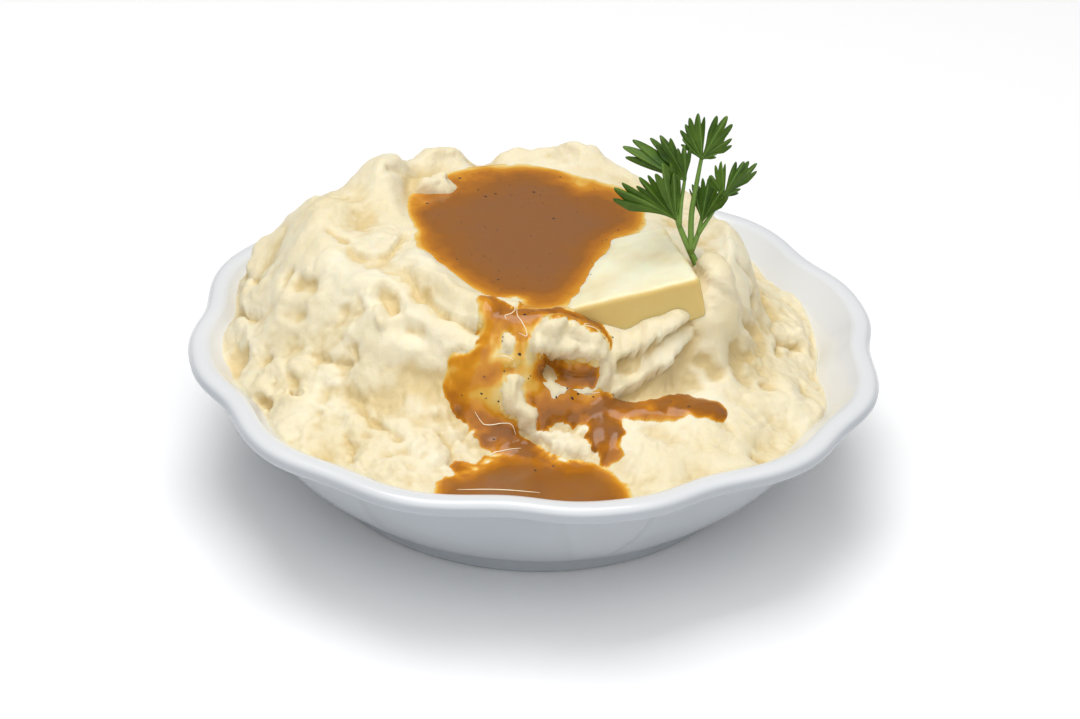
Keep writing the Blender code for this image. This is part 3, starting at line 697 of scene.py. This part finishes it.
# The gravy is shallow along the sunk side of the butter.
BUTTER_SHORE = np.array([(8.0, -35.0, 60.0), (20.0, 3.0, 60.0)])


def run_cover(points):
    """How far inside the runs' edges each point lies, and how thick the gravy is there."""
    inside_by = np.full(points.shape[:-1], -9.0)
    weight = np.full(points.shape[:-1], 1e-6)
    thick = np.zeros(points.shape[:-1])
    for depth, places in RUNS:
        line = lifted([place[:2] for place in places])
        widths = np.array([place[2] for place in places])
        reach_out = widths.max() + 4.0
        near = np.all((points > line.min(0) - reach_out) & (points < line.max(0) + reach_out), -1)
        spot = points[near]
        gap, along = to_line(spot, line)
        within = np.interp(along, np.linspace(0.0, 1.0, len(widths)), widths) - gap
        pull = np.exp(np.clip(within / 0.8, -12.0, 12.0))
        weight[near] += pull
        thick[near] += pull * depth
        inside_by[near] = np.maximum(inside_by[near], within)
    for places in BARE:
        line = lifted([place[:2] for place in places])
        widths = np.array([place[2] for place in places])
        gap, along = to_line(points, line)
        inside_by = np.minimum(inside_by, gap - np.interp(along, np.linspace(0.0, 1.0, len(widths)), widths))
    return inside_by, thick / weight


within, thick = run_cover(mash)
within = within + 0.7 * swell(mash, 5.0, 31) + 0.45 * swell(mash, 2.0, 32)
film = np.where(within > 0.0, thick * (1.0 - np.exp(-np.clip(within, 0.0, 20.0) / (0.5 + 0.7 * thick))),
                within * 0.8)
film += np.where(within > 0.5, 0.35 * np.minimum(thick, 0.7) * swell(mash, 4.0, 33), 0.0)
bed = smooth_mash + outward * (fine * 0.4)[..., None]
flat_bed = relax(smooth_mash, 40)
bed = bed + (flat_bed - bed) * (soft((thick - 0.7) / 0.5) * soft(within / 1.5 + 0.5))[..., None]
poured = bed + outward * np.maximum(film, -FILM_UNDER)[..., None]

well_surface = WELL_LEVEL - 4.0 * soft((from_well - shore - 1.0) / 4.0)
front_surface = FRONT_LEVEL - 4.0 * soft((from_front - 1.05) / 0.25)
surface = np.where(from_front < 1.35, front_surface, -99.0)
surface = np.where(from_well < shore + 6.0, np.maximum(surface, well_surface), surface)
level_up = np.maximum(surface, poured[..., 2])
# The pools round into the runs instead of meeting them in a sharp line.
blend = np.exp(-np.abs(surface - poured[..., 2]) / 0.35) * 0.18 * (within > 0.3)
poured[..., 2] = level_up + blend
depth = (poured - mash_skin)[..., 2] * np.clip(outward[..., 2], 0.35, 1.0)
by_butter = to_line(poured, BUTTER_SHORE)[0]
pooled = surface > poured[..., 2] - 0.4
depth = np.where(pooled & (surface > 50.0), depth * (0.14 + 0.36 * soft((by_butter - 0.5) / 9.0)), depth)
depth = np.where(pooled & (surface < 50.0), depth * 0.8, depth)
# The film is uneven: it lies thick in some patches and lets the mash show through in others.
patchy = np.clip(1.5 + 1.3 * swell(mash, 6.5, 34) + 0.6 * swell(mash, 2.6, 35), 0.3, 2.6)
depth = np.where(pooled | (depth <= 0.0), depth, depth * patchy)

reaches = (depth > -0.45) & (pooled | (within > -1.2)) & (share < 0.999)
cell = reaches[:-1, :-1] | reaches[1:, :-1] | reaches[1:, 1:] | reaches[:-1, 1:]
quads = grid_faces(GRID)[cell.ravel()]
used, quads = np.unique(quads, return_inverse=True)
quads = quads.reshape(-1, 4)
# The gravy's skin is closed below by a copy of itself, sunk out of sight in the mash.
top_skin = poured.reshape(-1, 3)[used]
under_skin = top_skin - np.array([0.0, 0.0, 0.9])
edges = np.concatenate([quads[:, [k, (k + 1) % 4]] for k in range(4)])
twin = edges[:, ::-1]
code = edges[:, 0].astype(np.int64) * len(used) + edges[:, 1]
twin_code = twin[:, 0].astype(np.int64) * len(used) + twin[:, 1]
open_edges = edges[~np.isin(code, twin_code)]
size = len(used)
gravy_faces = quads.tolist() + (quads[:, ::-1] + size).tolist()
edge_quads = [open_edges[:, 1], open_edges[:, 0], open_edges[:, 0] + size, open_edges[:, 1] + size]
gravy_faces += np.stack(edge_quads, 1).tolist()


# The finish counts gravy of this depth in mm as 1.
DEEP_GRAVY = 6.0


def gravy_finish():
    material, nodes, links, shader = new_finish("gravy", 0.11)
    thickness = nodes.new("ShaderNodeAttribute")
    thickness.attribute_name = "depth"
    mottle = link_noise(nodes, links, 120.0, 5.0, 0.65)
    # The gravy is uneven: a share of its thickness is taken away or added in patches.
    uneven = nodes.new("ShaderNodeMapRange")
    uneven.inputs["From Min"].default_value = 0.3
    uneven.inputs["From Max"].default_value = 0.7
    uneven.inputs["To Min"].default_value = 0.85
    uneven.inputs["To Max"].default_value = 1.35
    links.new(mottle.outputs["Fac"], uneven.inputs["Value"])
    vary = nodes.new("ShaderNodeMath")
    vary.operation = "MULTIPLY"
    links.new(uneven.outputs["Result"], vary.inputs[0])
    links.new(thickness.outputs["Fac"], vary.inputs[1])
    # Mash shows through the thinnest film, which goes by amber to brown as it deepens.
    link_ramp(nodes, links, vary.outputs["Value"],
              [(0.0, (0.84, 0.66, 0.30)), (0.018, (0.78, 0.47, 0.09)), (0.045, (0.65, 0.27, 0.015)),
               (0.11, (0.46, 0.16, 0.009)), (0.24, (0.31, 0.110, 0.013)), (0.50, (0.275, 0.110, 0.032))],
              shader.inputs["Base Color"])
    link_bump(nodes, links, mottle.outputs["Fac"], shader, 0.0002, 0.4)
    shader.inputs["IOR"].default_value = 1.35
    shader.inputs["Subsurface Weight"].default_value = 0.15
    shader.inputs["Subsurface Radius"].default_value = (1.0, 0.5, 0.15)
    shader.inputs["Subsurface Scale"].default_value = 0.0015
    return material


gravy = mesh_piece("gravy_poured", np.vstack([top_skin, under_skin]), gravy_faces, gravy_finish())
depth_values = np.clip(depth.ravel()[used] / DEEP_GRAVY, 0.0, 1.0)
add_value(gravy, "depth", np.concatenate([depth_values, depth_values]))
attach(gravy, "root")
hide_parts("gravy_well", "gravy_front", "gravy_tongue")


# ---- The pepper -------------------------------------------------------------------------
# Coarsely ground black pepper: flat, angular flakes caught in the gravy and on the mash.

# The larger flakes, by x and y. The fine ones are strewn over the well by chance.
FLAKES = (
    (-12.3, -30.3), (-2.3, -38.1), (-1.6, -37.2), (2, -38.5), (17.8, -36), (15.8, -38.8),
    (-1, -47.3), (-11, -47.7), (-8.3, -54.9), (5.4, -47.7), (13.8, -45.3), (9, -46.8),
    (-10.4, -50), (-27.8, 19.1), (-18.9, 9.1), (2.9, -6.3), (13.6, 30.7), (19.4, 7.7),
    (15.1, -8.6), (-20.4, 34.4), (-15.5, 27.8), (-11.1, 25.8), (-1.6, 27.6), (-13.6, 24.1),
    (-19, -10.8), (-12.6, -8.7), (-8.9, -20.5), (-1.8, 2.8), (3.6, 12.8), (5, 37.1),
    (12.7, -16.5), (-0.7, -36.7), (-6.5, -46.8), (-15.9, -48.8), (-7.2, -43.2), (-3.2, -45.2),
    (-7.1, -42.3), (-0.6, -46.9), (7.8, -45.7), (10.3, -45.6), (31.6, -43.4), (35.5, -45.1),
    (5.2, -61.9), (1.2, -64), (-7.6, -50.4), (-11.5, -49.4), (15, -37.5),
)
FINE_FLAKES = 70
rng = np.random.default_rng(11)


def surface_finder(*pieces):
    """Look straight down on pieces and give the height of the upper one, in mm."""
    trees = []
    for piece in pieces:
        data = piece.data
        trees.append(BVHTree.FromPolygons([vertex.co for vertex in data.vertices],
                                          [polygon.vertices for polygon in data.polygons]))

    def look(x, y):
        best = None
        for tree in trees:
            spot, normal, _, _ = tree.ray_cast(Vector((x * MM, y * MM, 0.2)), Vector((0, 0, -1)))
            if spot is not None and (best is None or spot.z > best[0].z):
                best = (spot, normal)
        return np.array(best[0]) / MM, np.array(best[1])
    return look


look_down = surface_finder(heap, gravy)
flake_points, flake_faces = [], []


def add_flake(x, y, size):
    """A six-sided flake lying on the surface, its top and underside drawn to a point."""
    spot, normal = look_down(x, y)
    side = np.cross(normal, [0.3, 1.0, 0.2])
    side /= np.linalg.norm(side)
    other = np.cross(normal, side)
    count = 6
    spin = rng.uniform(0.0, 2.0 * pi)
    start = len(flake_points)
    for number in range(count):
        turn_to = spin + 2.0 * pi * number / count + rng.uniform(-0.3, 0.3)
        out_to = size * rng.uniform(0.5, 1.0)
        edge_point = spot + side * cos(turn_to) * out_to + other * sin(turn_to) * out_to * 0.75
        flake_points.append(edge_point + normal * rng.uniform(-0.02, 0.06))
    flake_points.append(spot + normal * size * 0.42)
    flake_points.append(spot - normal * size * 0.4)
    for number in range(count):
        after = (number + 1) % count
        flake_faces.append((start + number, start + after, start + count))
        flake_faces.append((start + after, start + number, start + count + 1))


for x, y in FLAKES:
    add_flake(x, y, rng.uniform(0.28, 0.62))
for _ in range(FINE_FLAKES):
    turn_to = rng.uniform(0.0, 2.0 * pi)
    out_to = 30.0 * rng.uniform(0.05, 1.0) ** 0.5
    add_flake(WELL_MIDDLE[0] + out_to * cos(turn_to), WELL_MIDDLE[1] + out_to * sin(turn_to) * 1.1,
              rng.uniform(0.16, 0.30))


def pepper_finish():
    material, nodes, links, shader = new_finish("black_pepper", 0.55)
    husk = link_noise(nodes, links, 1500.0, 2.0)
    link_ramp(nodes, links, husk.outputs["Fac"], [(0.35, (0.012, 0.008, 0.005)), (0.7, (0.07, 0.035, 0.015))],
              shader.inputs["Base Color"])
    link_bump(nodes, links, husk.outputs["Fac"], shader, 0.0002, 0.5)
    return material


pepper = mesh_piece("pepper_flakes", flake_points, flake_faces, pepper_finish(), smooth=False)
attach(pepper, "root")


# ---- Painted highlights on the gravy ----------------------------------------------------
# Hair-fine pale threads stand on the gravy as painted highlights, for the glints along its
# ridges and along the front pool's edge. Each is a thin thread that follows the surface.

GLINT_LINES = (
    ((-13.7, -30.6), (-11.4, -31.2), (-9.3, -31)),
    ((-7, -32.9), (-5.4, -32.5), (-4.6, -36), (-5.4, -38.1), (-6.8, -38.8), (-6.5, -39.8)),
    ((-4.2, -32.8), (-4.1, -38.2), (-3.1, -40), (-1.9, -41.7), (-1.8, -42.6), (-3.5, -42.1)),
    ((12.6, -37.5), (11.1, -39.1), (13.4, -38.8), (16.4, -37.8)),
    ((-7.8, -45.2), (-5.9, -45.6), (-3.8, -46.3)),
    ((10.1, -45.4), (12.6, -45), (15.3, -44.1)),
    ((-12.8, -51.3), (-11.3, -52.5), (-10.2, -52.8), (-7.1, -52.2), (-4.6, -52.2), (-3.4, -53)),
    ((-9, -59), (-8.6, -58), (-5.7, -57), (-2.1, -56.3)),
    ((-15.7, -73), (-6.3, -72.4), (2.4, -73.1)),
)
THREAD = 0.13


def add_tube(line, size, turns, points, faces, place=np.asarray):
    """A closed tube along a line, with a size at each of its points and turns."""
    run = np.gradient(line, axis=0)
    run /= np.linalg.norm(run, axis=1, keepdims=True)
    side = np.cross(run, [0.0, 0.0, 1.0])
    side /= np.linalg.norm(side, axis=1, keepdims=True)
    other = np.cross(run, side)
    rings = (line[:, None] + side[:, None] * (size * np.cos(turns))[..., None]
             + other[:, None] * (size * np.sin(turns))[..., None])
    start, steps = len(points), len(turns)
    points.extend(place(rings.reshape(-1, 3)))
    faces.extend((ring_faces(len(line), steps) + start).tolist())
    faces.append(list(range(start, start + steps))[::-1])
    end = start + (len(line) - 1) * steps
    faces.append(list(range(end, end + steps)))


def add_thread(places, radius, points, faces):
    """A thread laid over the gravy, thinning to both ends."""
    line = rounded(places, 6)
    spots = np.array([look_down(x, y)[0] for x, y in line])
    spots[1:-1] = (spots[:-2] + 2.0 * spots[1:-1] + spots[2:]) / 4.0
    spots[:, 2] += 0.06
    size = radius * (0.35 + 0.65 * np.sin(np.linspace(0.15, pi - 0.15, len(spots))))[:, None]
    add_tube(spots, size, np.arange(6) * pi / 3.0, points, faces)


# Painted highlight: the threads are a near-white cream, for glints of light.
def glint_finish():
    material, nodes, links, shader = new_finish("painted_glint", 0.25)
    tone = link_noise(nodes, links, 300.0, 2.0)
    link_ramp(nodes, links, tone.outputs["Fac"], [(0.3, (0.95, 0.80, 0.50)), (0.7, (1.0, 0.92, 0.72))],
              shader.inputs["Base Color"])
    link_bump(nodes, links, tone.outputs["Fac"], shader, 0.00005, 0.3)
    return material


thread_points, thread_faces = [], []
for places in GLINT_LINES:
    add_thread(places, THREAD, thread_points, thread_faces)
glint_threads = mesh_piece("gravy_painted_glints", thread_points, thread_faces, glint_finish())
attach(glint_threads, "root")


# ---- The butter -------------------------------------------------------------------------
# A square pat cut from a block, softening: its left side has sunk into the gravy, and its
# front right corner still stands clear of the mash. The cut edges have begun to round.

BUTTER_SIZE = (37.0, 35.0, 10.5)
BUTTER_CORNER = np.array([37.6, -27.5, 66.0])
BUTTER_EDGE = 1.5
# The pat's own directions from that corner: it is tipped down to the left and to the back.
leftward = Vector((-30.4, -7.0, -5.8)).normalized()
backward = Vector((-7.3, 34.9, -3.8)).normalized()
upward = backward.cross(leftward).normalized()
leftward = upward.cross(backward).normalized()


def rounded_block(size, edge, cells):
    """A block as six grids, its edges and corners rounded, centred on the origin."""
    half = np.array(size) / 2.0
    points, faces = [], []
    for axis in range(3):
        for sign in (-1.0, 1.0):
            u_axis, v_axis = (axis + 1) % 3, (axis + 2) % 3
            # Cells lie close together near the edges, where the block rounds over.
            line = np.sin(np.linspace(-1.0, 1.0, cells + 1) * pi / 2.0)
            u, v = np.meshgrid(line, line, indexing="ij")
            face = np.zeros(u.shape + (3,))
            face[..., axis] = sign * half[axis]
            face[..., u_axis] = u * half[u_axis]
            face[..., v_axis] = v * half[v_axis]
            core = np.clip(face, -(half - edge), half - edge)
            away = face - core
            face = core + edge * away / np.maximum(np.linalg.norm(away, axis=-1, keepdims=True), 1e-9)
            quads = grid_faces(cells) + len(points) * (cells + 1) ** 2
            faces += (quads if sign > 0 else quads[:, ::-1]).tolist()
            points.append(face.reshape(-1, 3))
    return np.vstack(points), faces


def weld(points, faces):
    """Join points that fall on the same spot."""
    _, first, same = np.unique(np.round(points, 4), axis=0, return_index=True, return_inverse=True)
    same = same.ravel()
    return points[first], [[int(same[k]) for k in face] for face in faces]


block, block_faces = weld(*rounded_block(BUTTER_SIZE, BUTTER_EDGE, 44))
axes = np.array([[-leftward.x, -leftward.y, -leftward.z], list(backward), list(upward)])
half_left, half_back, half_up = (size / 2.0 for size in BUTTER_SIZE)
middle = (BUTTER_CORNER + np.array(leftward) * half_left + np.array(backward) * half_back
          - np.array(upward) * half_up)
softness = np.stack([swell(block, 9.0, seed) for seed in (41, 42, 43)], -1)
block = block + 0.30 * softness + 0.10 * np.stack([swell(block, 2.5, seed) for seed in (44, 45, 46)], -1)
# The top dips a little towards the side that is melting.
toward_left = soft((-block[:, 0] + 2.0) / 16.0)
block[:, 2] -= 0.25 * toward_left * (block[:, 2] > 0.0)
# Painted shade: the pat's sides, all but the top millimetre or so, are coloured a darker ochre than its top;
# part of this is the yellower tone of the cut.
cut_face = soft((-block[:, 2] + 5.6) / 1.2)
block = block @ axes + middle


def butter_finish():
    material, nodes, links, shader = new_finish("butter", 0.42)
    streaks = link_noise(nodes, links, 60.0, 3.0)
    # The top's pale colour, then the darker ochre of the sides: painted shade, with the yellower tone of the
    # cut.
    link_blend(nodes, links, streaks.outputs["Fac"],
               [(0.3, (0.98, 0.92, 0.67)), (0.7, (0.99, 0.94, 0.73))],
               [(0.3, (0.70, 0.51, 0.16)), (0.7, (0.74, 0.57, 0.21))], "cut", shader)
    grain = link_noise(nodes, links, 500.0, 3.0)
    link_bump(nodes, links, grain.outputs["Fac"], shader, 0.0002, 0.35)
    shader.inputs["Subsurface Weight"].default_value = 0.6
    shader.inputs["Subsurface Radius"].default_value = (1.0, 0.8, 0.3)
    shader.inputs["Subsurface Scale"].default_value = 0.003
    shader.inputs["Coat Weight"].default_value = 0.15
    shader.inputs["Coat Roughness"].default_value = 0.2
    return material


butter = mesh_piece("butter_pat", block, block_faces, butter_finish())
add_value(butter, "cut", cut_face)
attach(butter, "root")
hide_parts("butter")


# ---- The parsley ------------------------------------------------------------------------
# A sprig of flat parsley pushed into the mash at the right of the butter: a forked stem, and
# five leaves of lobes with toothed ends, each lobe folded along its vein and curling a little.

SPRIG_FOOT = np.array([36.6, -12.5, 61.5])
SPRIG_LEAN = radians(-13.0)
# Stems in the sprig's own plane: points sideways and up, and the radius at foot and tip.
STEMS = (
    (((1.4, -4), (0.8, 0), (-1.2, 4), (-3.6, 9.2), (-4.5, 12.5)), 0.85, 0.5),
    (((-3.6, 9.2), (-3.4, 15), (-2.8, 21)), 0.5, 0.35),
    (((-0.6, 3.0), (-0.9, 12), (0, 20), (0.9, 26.5)), 0.7, 0.4),
    (((-0.4, 3.6), (0.9, 7.5), (1.6, 11.5)), 0.65, 0.4),
    (((0.9, 7.5), (3.6, 12.0), (6.6, 17.5)), 0.5, 0.35),
)
# Leaves: foot sideways and up, twist, and lobes as direction, length and half width in degrees.
LEAVES = (
    (-4.5, 10.8, 25, ((147, 19.0, 9), (134, 13.5, 11), (117, 15.0, 13), (97, 11.5, 13), (80, 7.0, 12))),
    (-2.8, 20.2, -20, ((160, 16.5, 11), (141, 13.0, 13), (118, 11.5, 14), (92, 8.5, 14))),
    (0.8, 25.4, 12, ((142, 6.5, 16), (118, 9.0, 14), (92, 10.8, 14), (64, 11.8, 14), (38, 8.5, 14),
                     (15, 4.0, 18))),
    (1.6, 10.6, -28, ((112, 9.0, 13), (86, 11.2, 13), (60, 11.0, 13))),
    (6.4, 16.6, 22, ((120, 6.5, 15), (92, 8.4, 14), (66, 9.4, 14), (44, 11.2, 13), (16, 4.5, 18))),
)
STEM_SIDES = 12
LEAF_HALF_THICKNESS = 0.13
sprig_points, sprig_faces, vein_values = [], [], []


def stand(flat):
    """Lean points of the sprig's plane back and set them on its foot."""
    flat = np.asarray(flat, float)
    turned = np.stack([flat[..., 0], flat[..., 2] * cos(SPRIG_LEAN) - flat[..., 1] * sin(SPRIG_LEAN),
                       flat[..., 2] * sin(SPRIG_LEAN) + flat[..., 1] * cos(SPRIG_LEAN)], -1)
    return turned + SPRIG_FOOT


def add_stem(places, foot_radius, tip_radius):
    """A ribbed stem, swaying a little out of the sprig's plane."""
    line = rounded([(x, z) for x, z in places], 6)
    line = np.column_stack([line, 0.5 * np.sin(np.linspace(0.0, 2.0, len(line)))])
    turns = np.arange(STEM_SIDES) * 2.0 * pi / STEM_SIDES
    size = np.linspace(foot_radius, tip_radius, len(line))[:, None] * (1.0 + 0.10 * np.cos(turns * 4.0))
    add_tube(line, size, turns, sprig_points, sprig_faces, stand)
    vein_values.extend([1.0] * len(line) * STEM_SIDES)


def add_lobe(foot, twist, direction, length, half_angle, seed):
    """One lobe: a wedge that widens from its foot and ends in pointed teeth, creased along its vein."""
    steps, cells, teeth = 16, 48, 3
    t = np.linspace(0.0, 1.0, steps + 1)[:, None]
    s = np.linspace(-1.0, 1.0, cells + 1)[None, :]
    tooth = 1.0 - np.abs(((s + 1.0) * teeth / 2.0) % 1.0 - 0.5) * 2.0
    reach_out = length * (1.0 - 0.20 * s ** 2) * (1.0 - 0.24 * (1.0 - np.sin(tooth * pi / 2.0)))
    spread = radians(half_angle) * 1.3
    swing = s * spread * (0.50 + 0.62 * t) * (1.0 - 0.14 * t ** 5)
    distance = reach_out * t
    flat_x = distance * np.cos(swing)
    flat_y = distance * np.sin(swing) + 0.25 * s * (1.0 - t) ** 3
    bend = 0.10 * np.sin(seed * 1.7)
    flat_y = flat_y + bend * length * t ** 2
    crest = 0.30 * np.abs(flat_y - bend * length * t ** 2) + 0.12 * length * np.sin(1.3 * seed) * t ** 2
    crest = crest + 0.22 * t * np.sin(s * 4.0 + seed) * np.abs(s)
    heading = radians(direction)
    x = flat_x * cos(heading) - flat_y * sin(heading)
    z = flat_x * sin(heading) + flat_y * cos(heading)
    turn_to = radians(twist) + 0.25 * np.sin(seed * 2.3)
    x_turned = x * cos(turn_to) - crest * sin(turn_to)
    y_turned = x * sin(turn_to) + crest * cos(turn_to)
    vein = np.exp(-(np.abs(s) / (0.05 + 0.16 * (1.0 - t))) ** 2)
    rib = 0.22 * soft((tooth - 0.72) / 0.28) * soft((t - 0.25) / 0.3) * np.ones_like(s)
    for side_sign in (1.0, -1.0):
        start = len(sprig_points)
        sheet = np.stack([x_turned + foot[0], z + foot[1], y_turned + side_sign * LEAF_HALF_THICKNESS], -1)
        sprig_points.extend(stand(sheet.reshape(-1, 3)))
        vein_values.extend(np.clip(0.55 * vein + 0.6 * rib, 0.0, 1.0).ravel().tolist())
        low = np.arange(steps * (cells + 1)).reshape(steps, cells + 1)[:, :-1].ravel() + start
        quads = np.stack([low, low + cells + 1, low + cells + 2, low + 1], 1)
        sprig_faces.extend((quads if side_sign < 0 else quads[:, ::-1]).tolist())
    size = (steps + 1) * (cells + 1)
    numbers = np.arange(size).reshape(steps + 1, cells + 1)
    ring = np.concatenate([numbers[:-1, 0], numbers[-1, :-1], numbers[:0:-1, -1], numbers[0, :0:-1]])
    first = len(sprig_points) - 2 * size
    for a, b in zip(ring, np.roll(ring, -1)):
        sprig_faces.append([first + a, first + b, first + size + b, first + size + a])


for places, foot_radius, tip_radius in STEMS:
    add_stem(places, foot_radius, tip_radius)
seed = 1
for foot_x, foot_up, twist, lobes in LEAVES:
    for direction, length, half_angle in lobes:
        add_lobe((foot_x, foot_up), twist, direction, length, half_angle, seed)
        seed += 1


def parsley_finish():
    material, nodes, links, shader = new_finish("parsley", 0.38)
    tone = link_noise(nodes, links, 160.0, 3.0)
    link_blend(nodes, links, tone.outputs["Fac"],
               [(0.3, (0.030, 0.080, 0.005)), (0.7, (0.085, 0.165, 0.012))],
               [(0.3, (0.13, 0.25, 0.04)), (0.7, (0.20, 0.34, 0.07))], "vein", shader)
    skin = link_noise(nodes, links, 900.0, 2.0)
    link_bump(nodes, links, skin.outputs["Fac"], shader, 0.0002, 0.3)
    shader.inputs["Specular IOR Level"].default_value = 0.25
    shader.inputs["Subsurface Weight"].default_value = 0.1
    shader.inputs["Subsurface Radius"].default_value = (0.4, 1.0, 0.2)
    shader.inputs["Subsurface Scale"].default_value = 0.0006
    return material


sprig = mesh_piece("parsley_sprig", sprig_points, sprig_faces, parsley_finish())
add_value(sprig, "vein", vein_values)
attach(sprig, "root")
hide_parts("parsley")


# ---- The table, the light and the camera ------------------------------------------------
# A wide flat white floor under two broad soft lights, one overhead and one higher than the
# camera in front, with pale fill from all round, so the bowl's shadow is soft and lies under it.

floor_mesh = bpy.data.meshes.new("white_sweep")
floor_mesh.from_pydata([(-3, -3, 0), (3, -3, 0), (3, 3, 0), (-3, 3, 0)], [], [(0, 1, 2, 3)])
floor = bpy.data.objects.new("white_sweep", floor_mesh)
bpy.context.scene.collection.objects.link(floor)
paper, _, _, paper_shader = new_finish("white_paper", 0.9)
paper_shader.inputs["Base Color"].default_value = (0.98, 0.98, 0.98, 1.0)
paper_shader.inputs["Specular IOR Level"].default_value = 0.1
floor_mesh.materials.append(paper)

world = bpy.data.worlds.new("studio")
world.use_nodes = True
world.node_tree.nodes["Background"].inputs["Color"].default_value = (1.0, 1.0, 1.0, 1.0)
world.node_tree.nodes["Background"].inputs["Strength"].default_value = 0.25
bpy.context.scene.world = world


def add_lamp(name, place, width, watts):
    """A square softbox aimed at the heap."""
    data = bpy.data.lights.new(name, "AREA")
    data.shape = "SQUARE"
    data.size = width
    data.energy = watts
    lamp = bpy.data.objects.new(name, data)
    lamp.location = place
    lamp.rotation_euler = (Vector((0.0, 0.0, 0.04)) - Vector(place)).to_track_quat("-Z", "Y").to_euler()
    bpy.context.scene.collection.objects.link(lamp)


add_lamp("overhead", (-0.10, 0.20, 1.45), 0.9, 12.0)
add_lamp("front", (0.05, -0.90, 1.25), 1.9, 15.5)

elevation, roll = radians(29.469), radians(1.9415)
ahead = Vector((0.0, cos(elevation), -sin(elevation)))
level_right = Vector((1.0, 0.0, 0.0))
level_up_axis = Vector((0.0, sin(elevation), cos(elevation)))
right = cos(roll) * level_right + sin(roll) * level_up_axis
top_axis = -sin(roll) * level_right + cos(roll) * level_up_axis
camera_data = bpy.data.cameras.new("camera")
camera_data.sensor_width = 36.0
camera_data.lens = 76.67
camera = bpy.data.objects.new("camera", camera_data)
CAMERA_PLACE = (0.00142, -0.49532, 0.30736)
camera_rows = [(right[k], top_axis[k], -ahead[k], CAMERA_PLACE[k]) for k in range(3)]
camera.matrix_world = Matrix(camera_rows + [(0.0, 0.0, 0.0, 1.0)])
bpy.context.scene.collection.objects.link(camera)
bpy.context.scene.camera = camera
bpy.context.scene.view_settings.view_transform = "Standard"
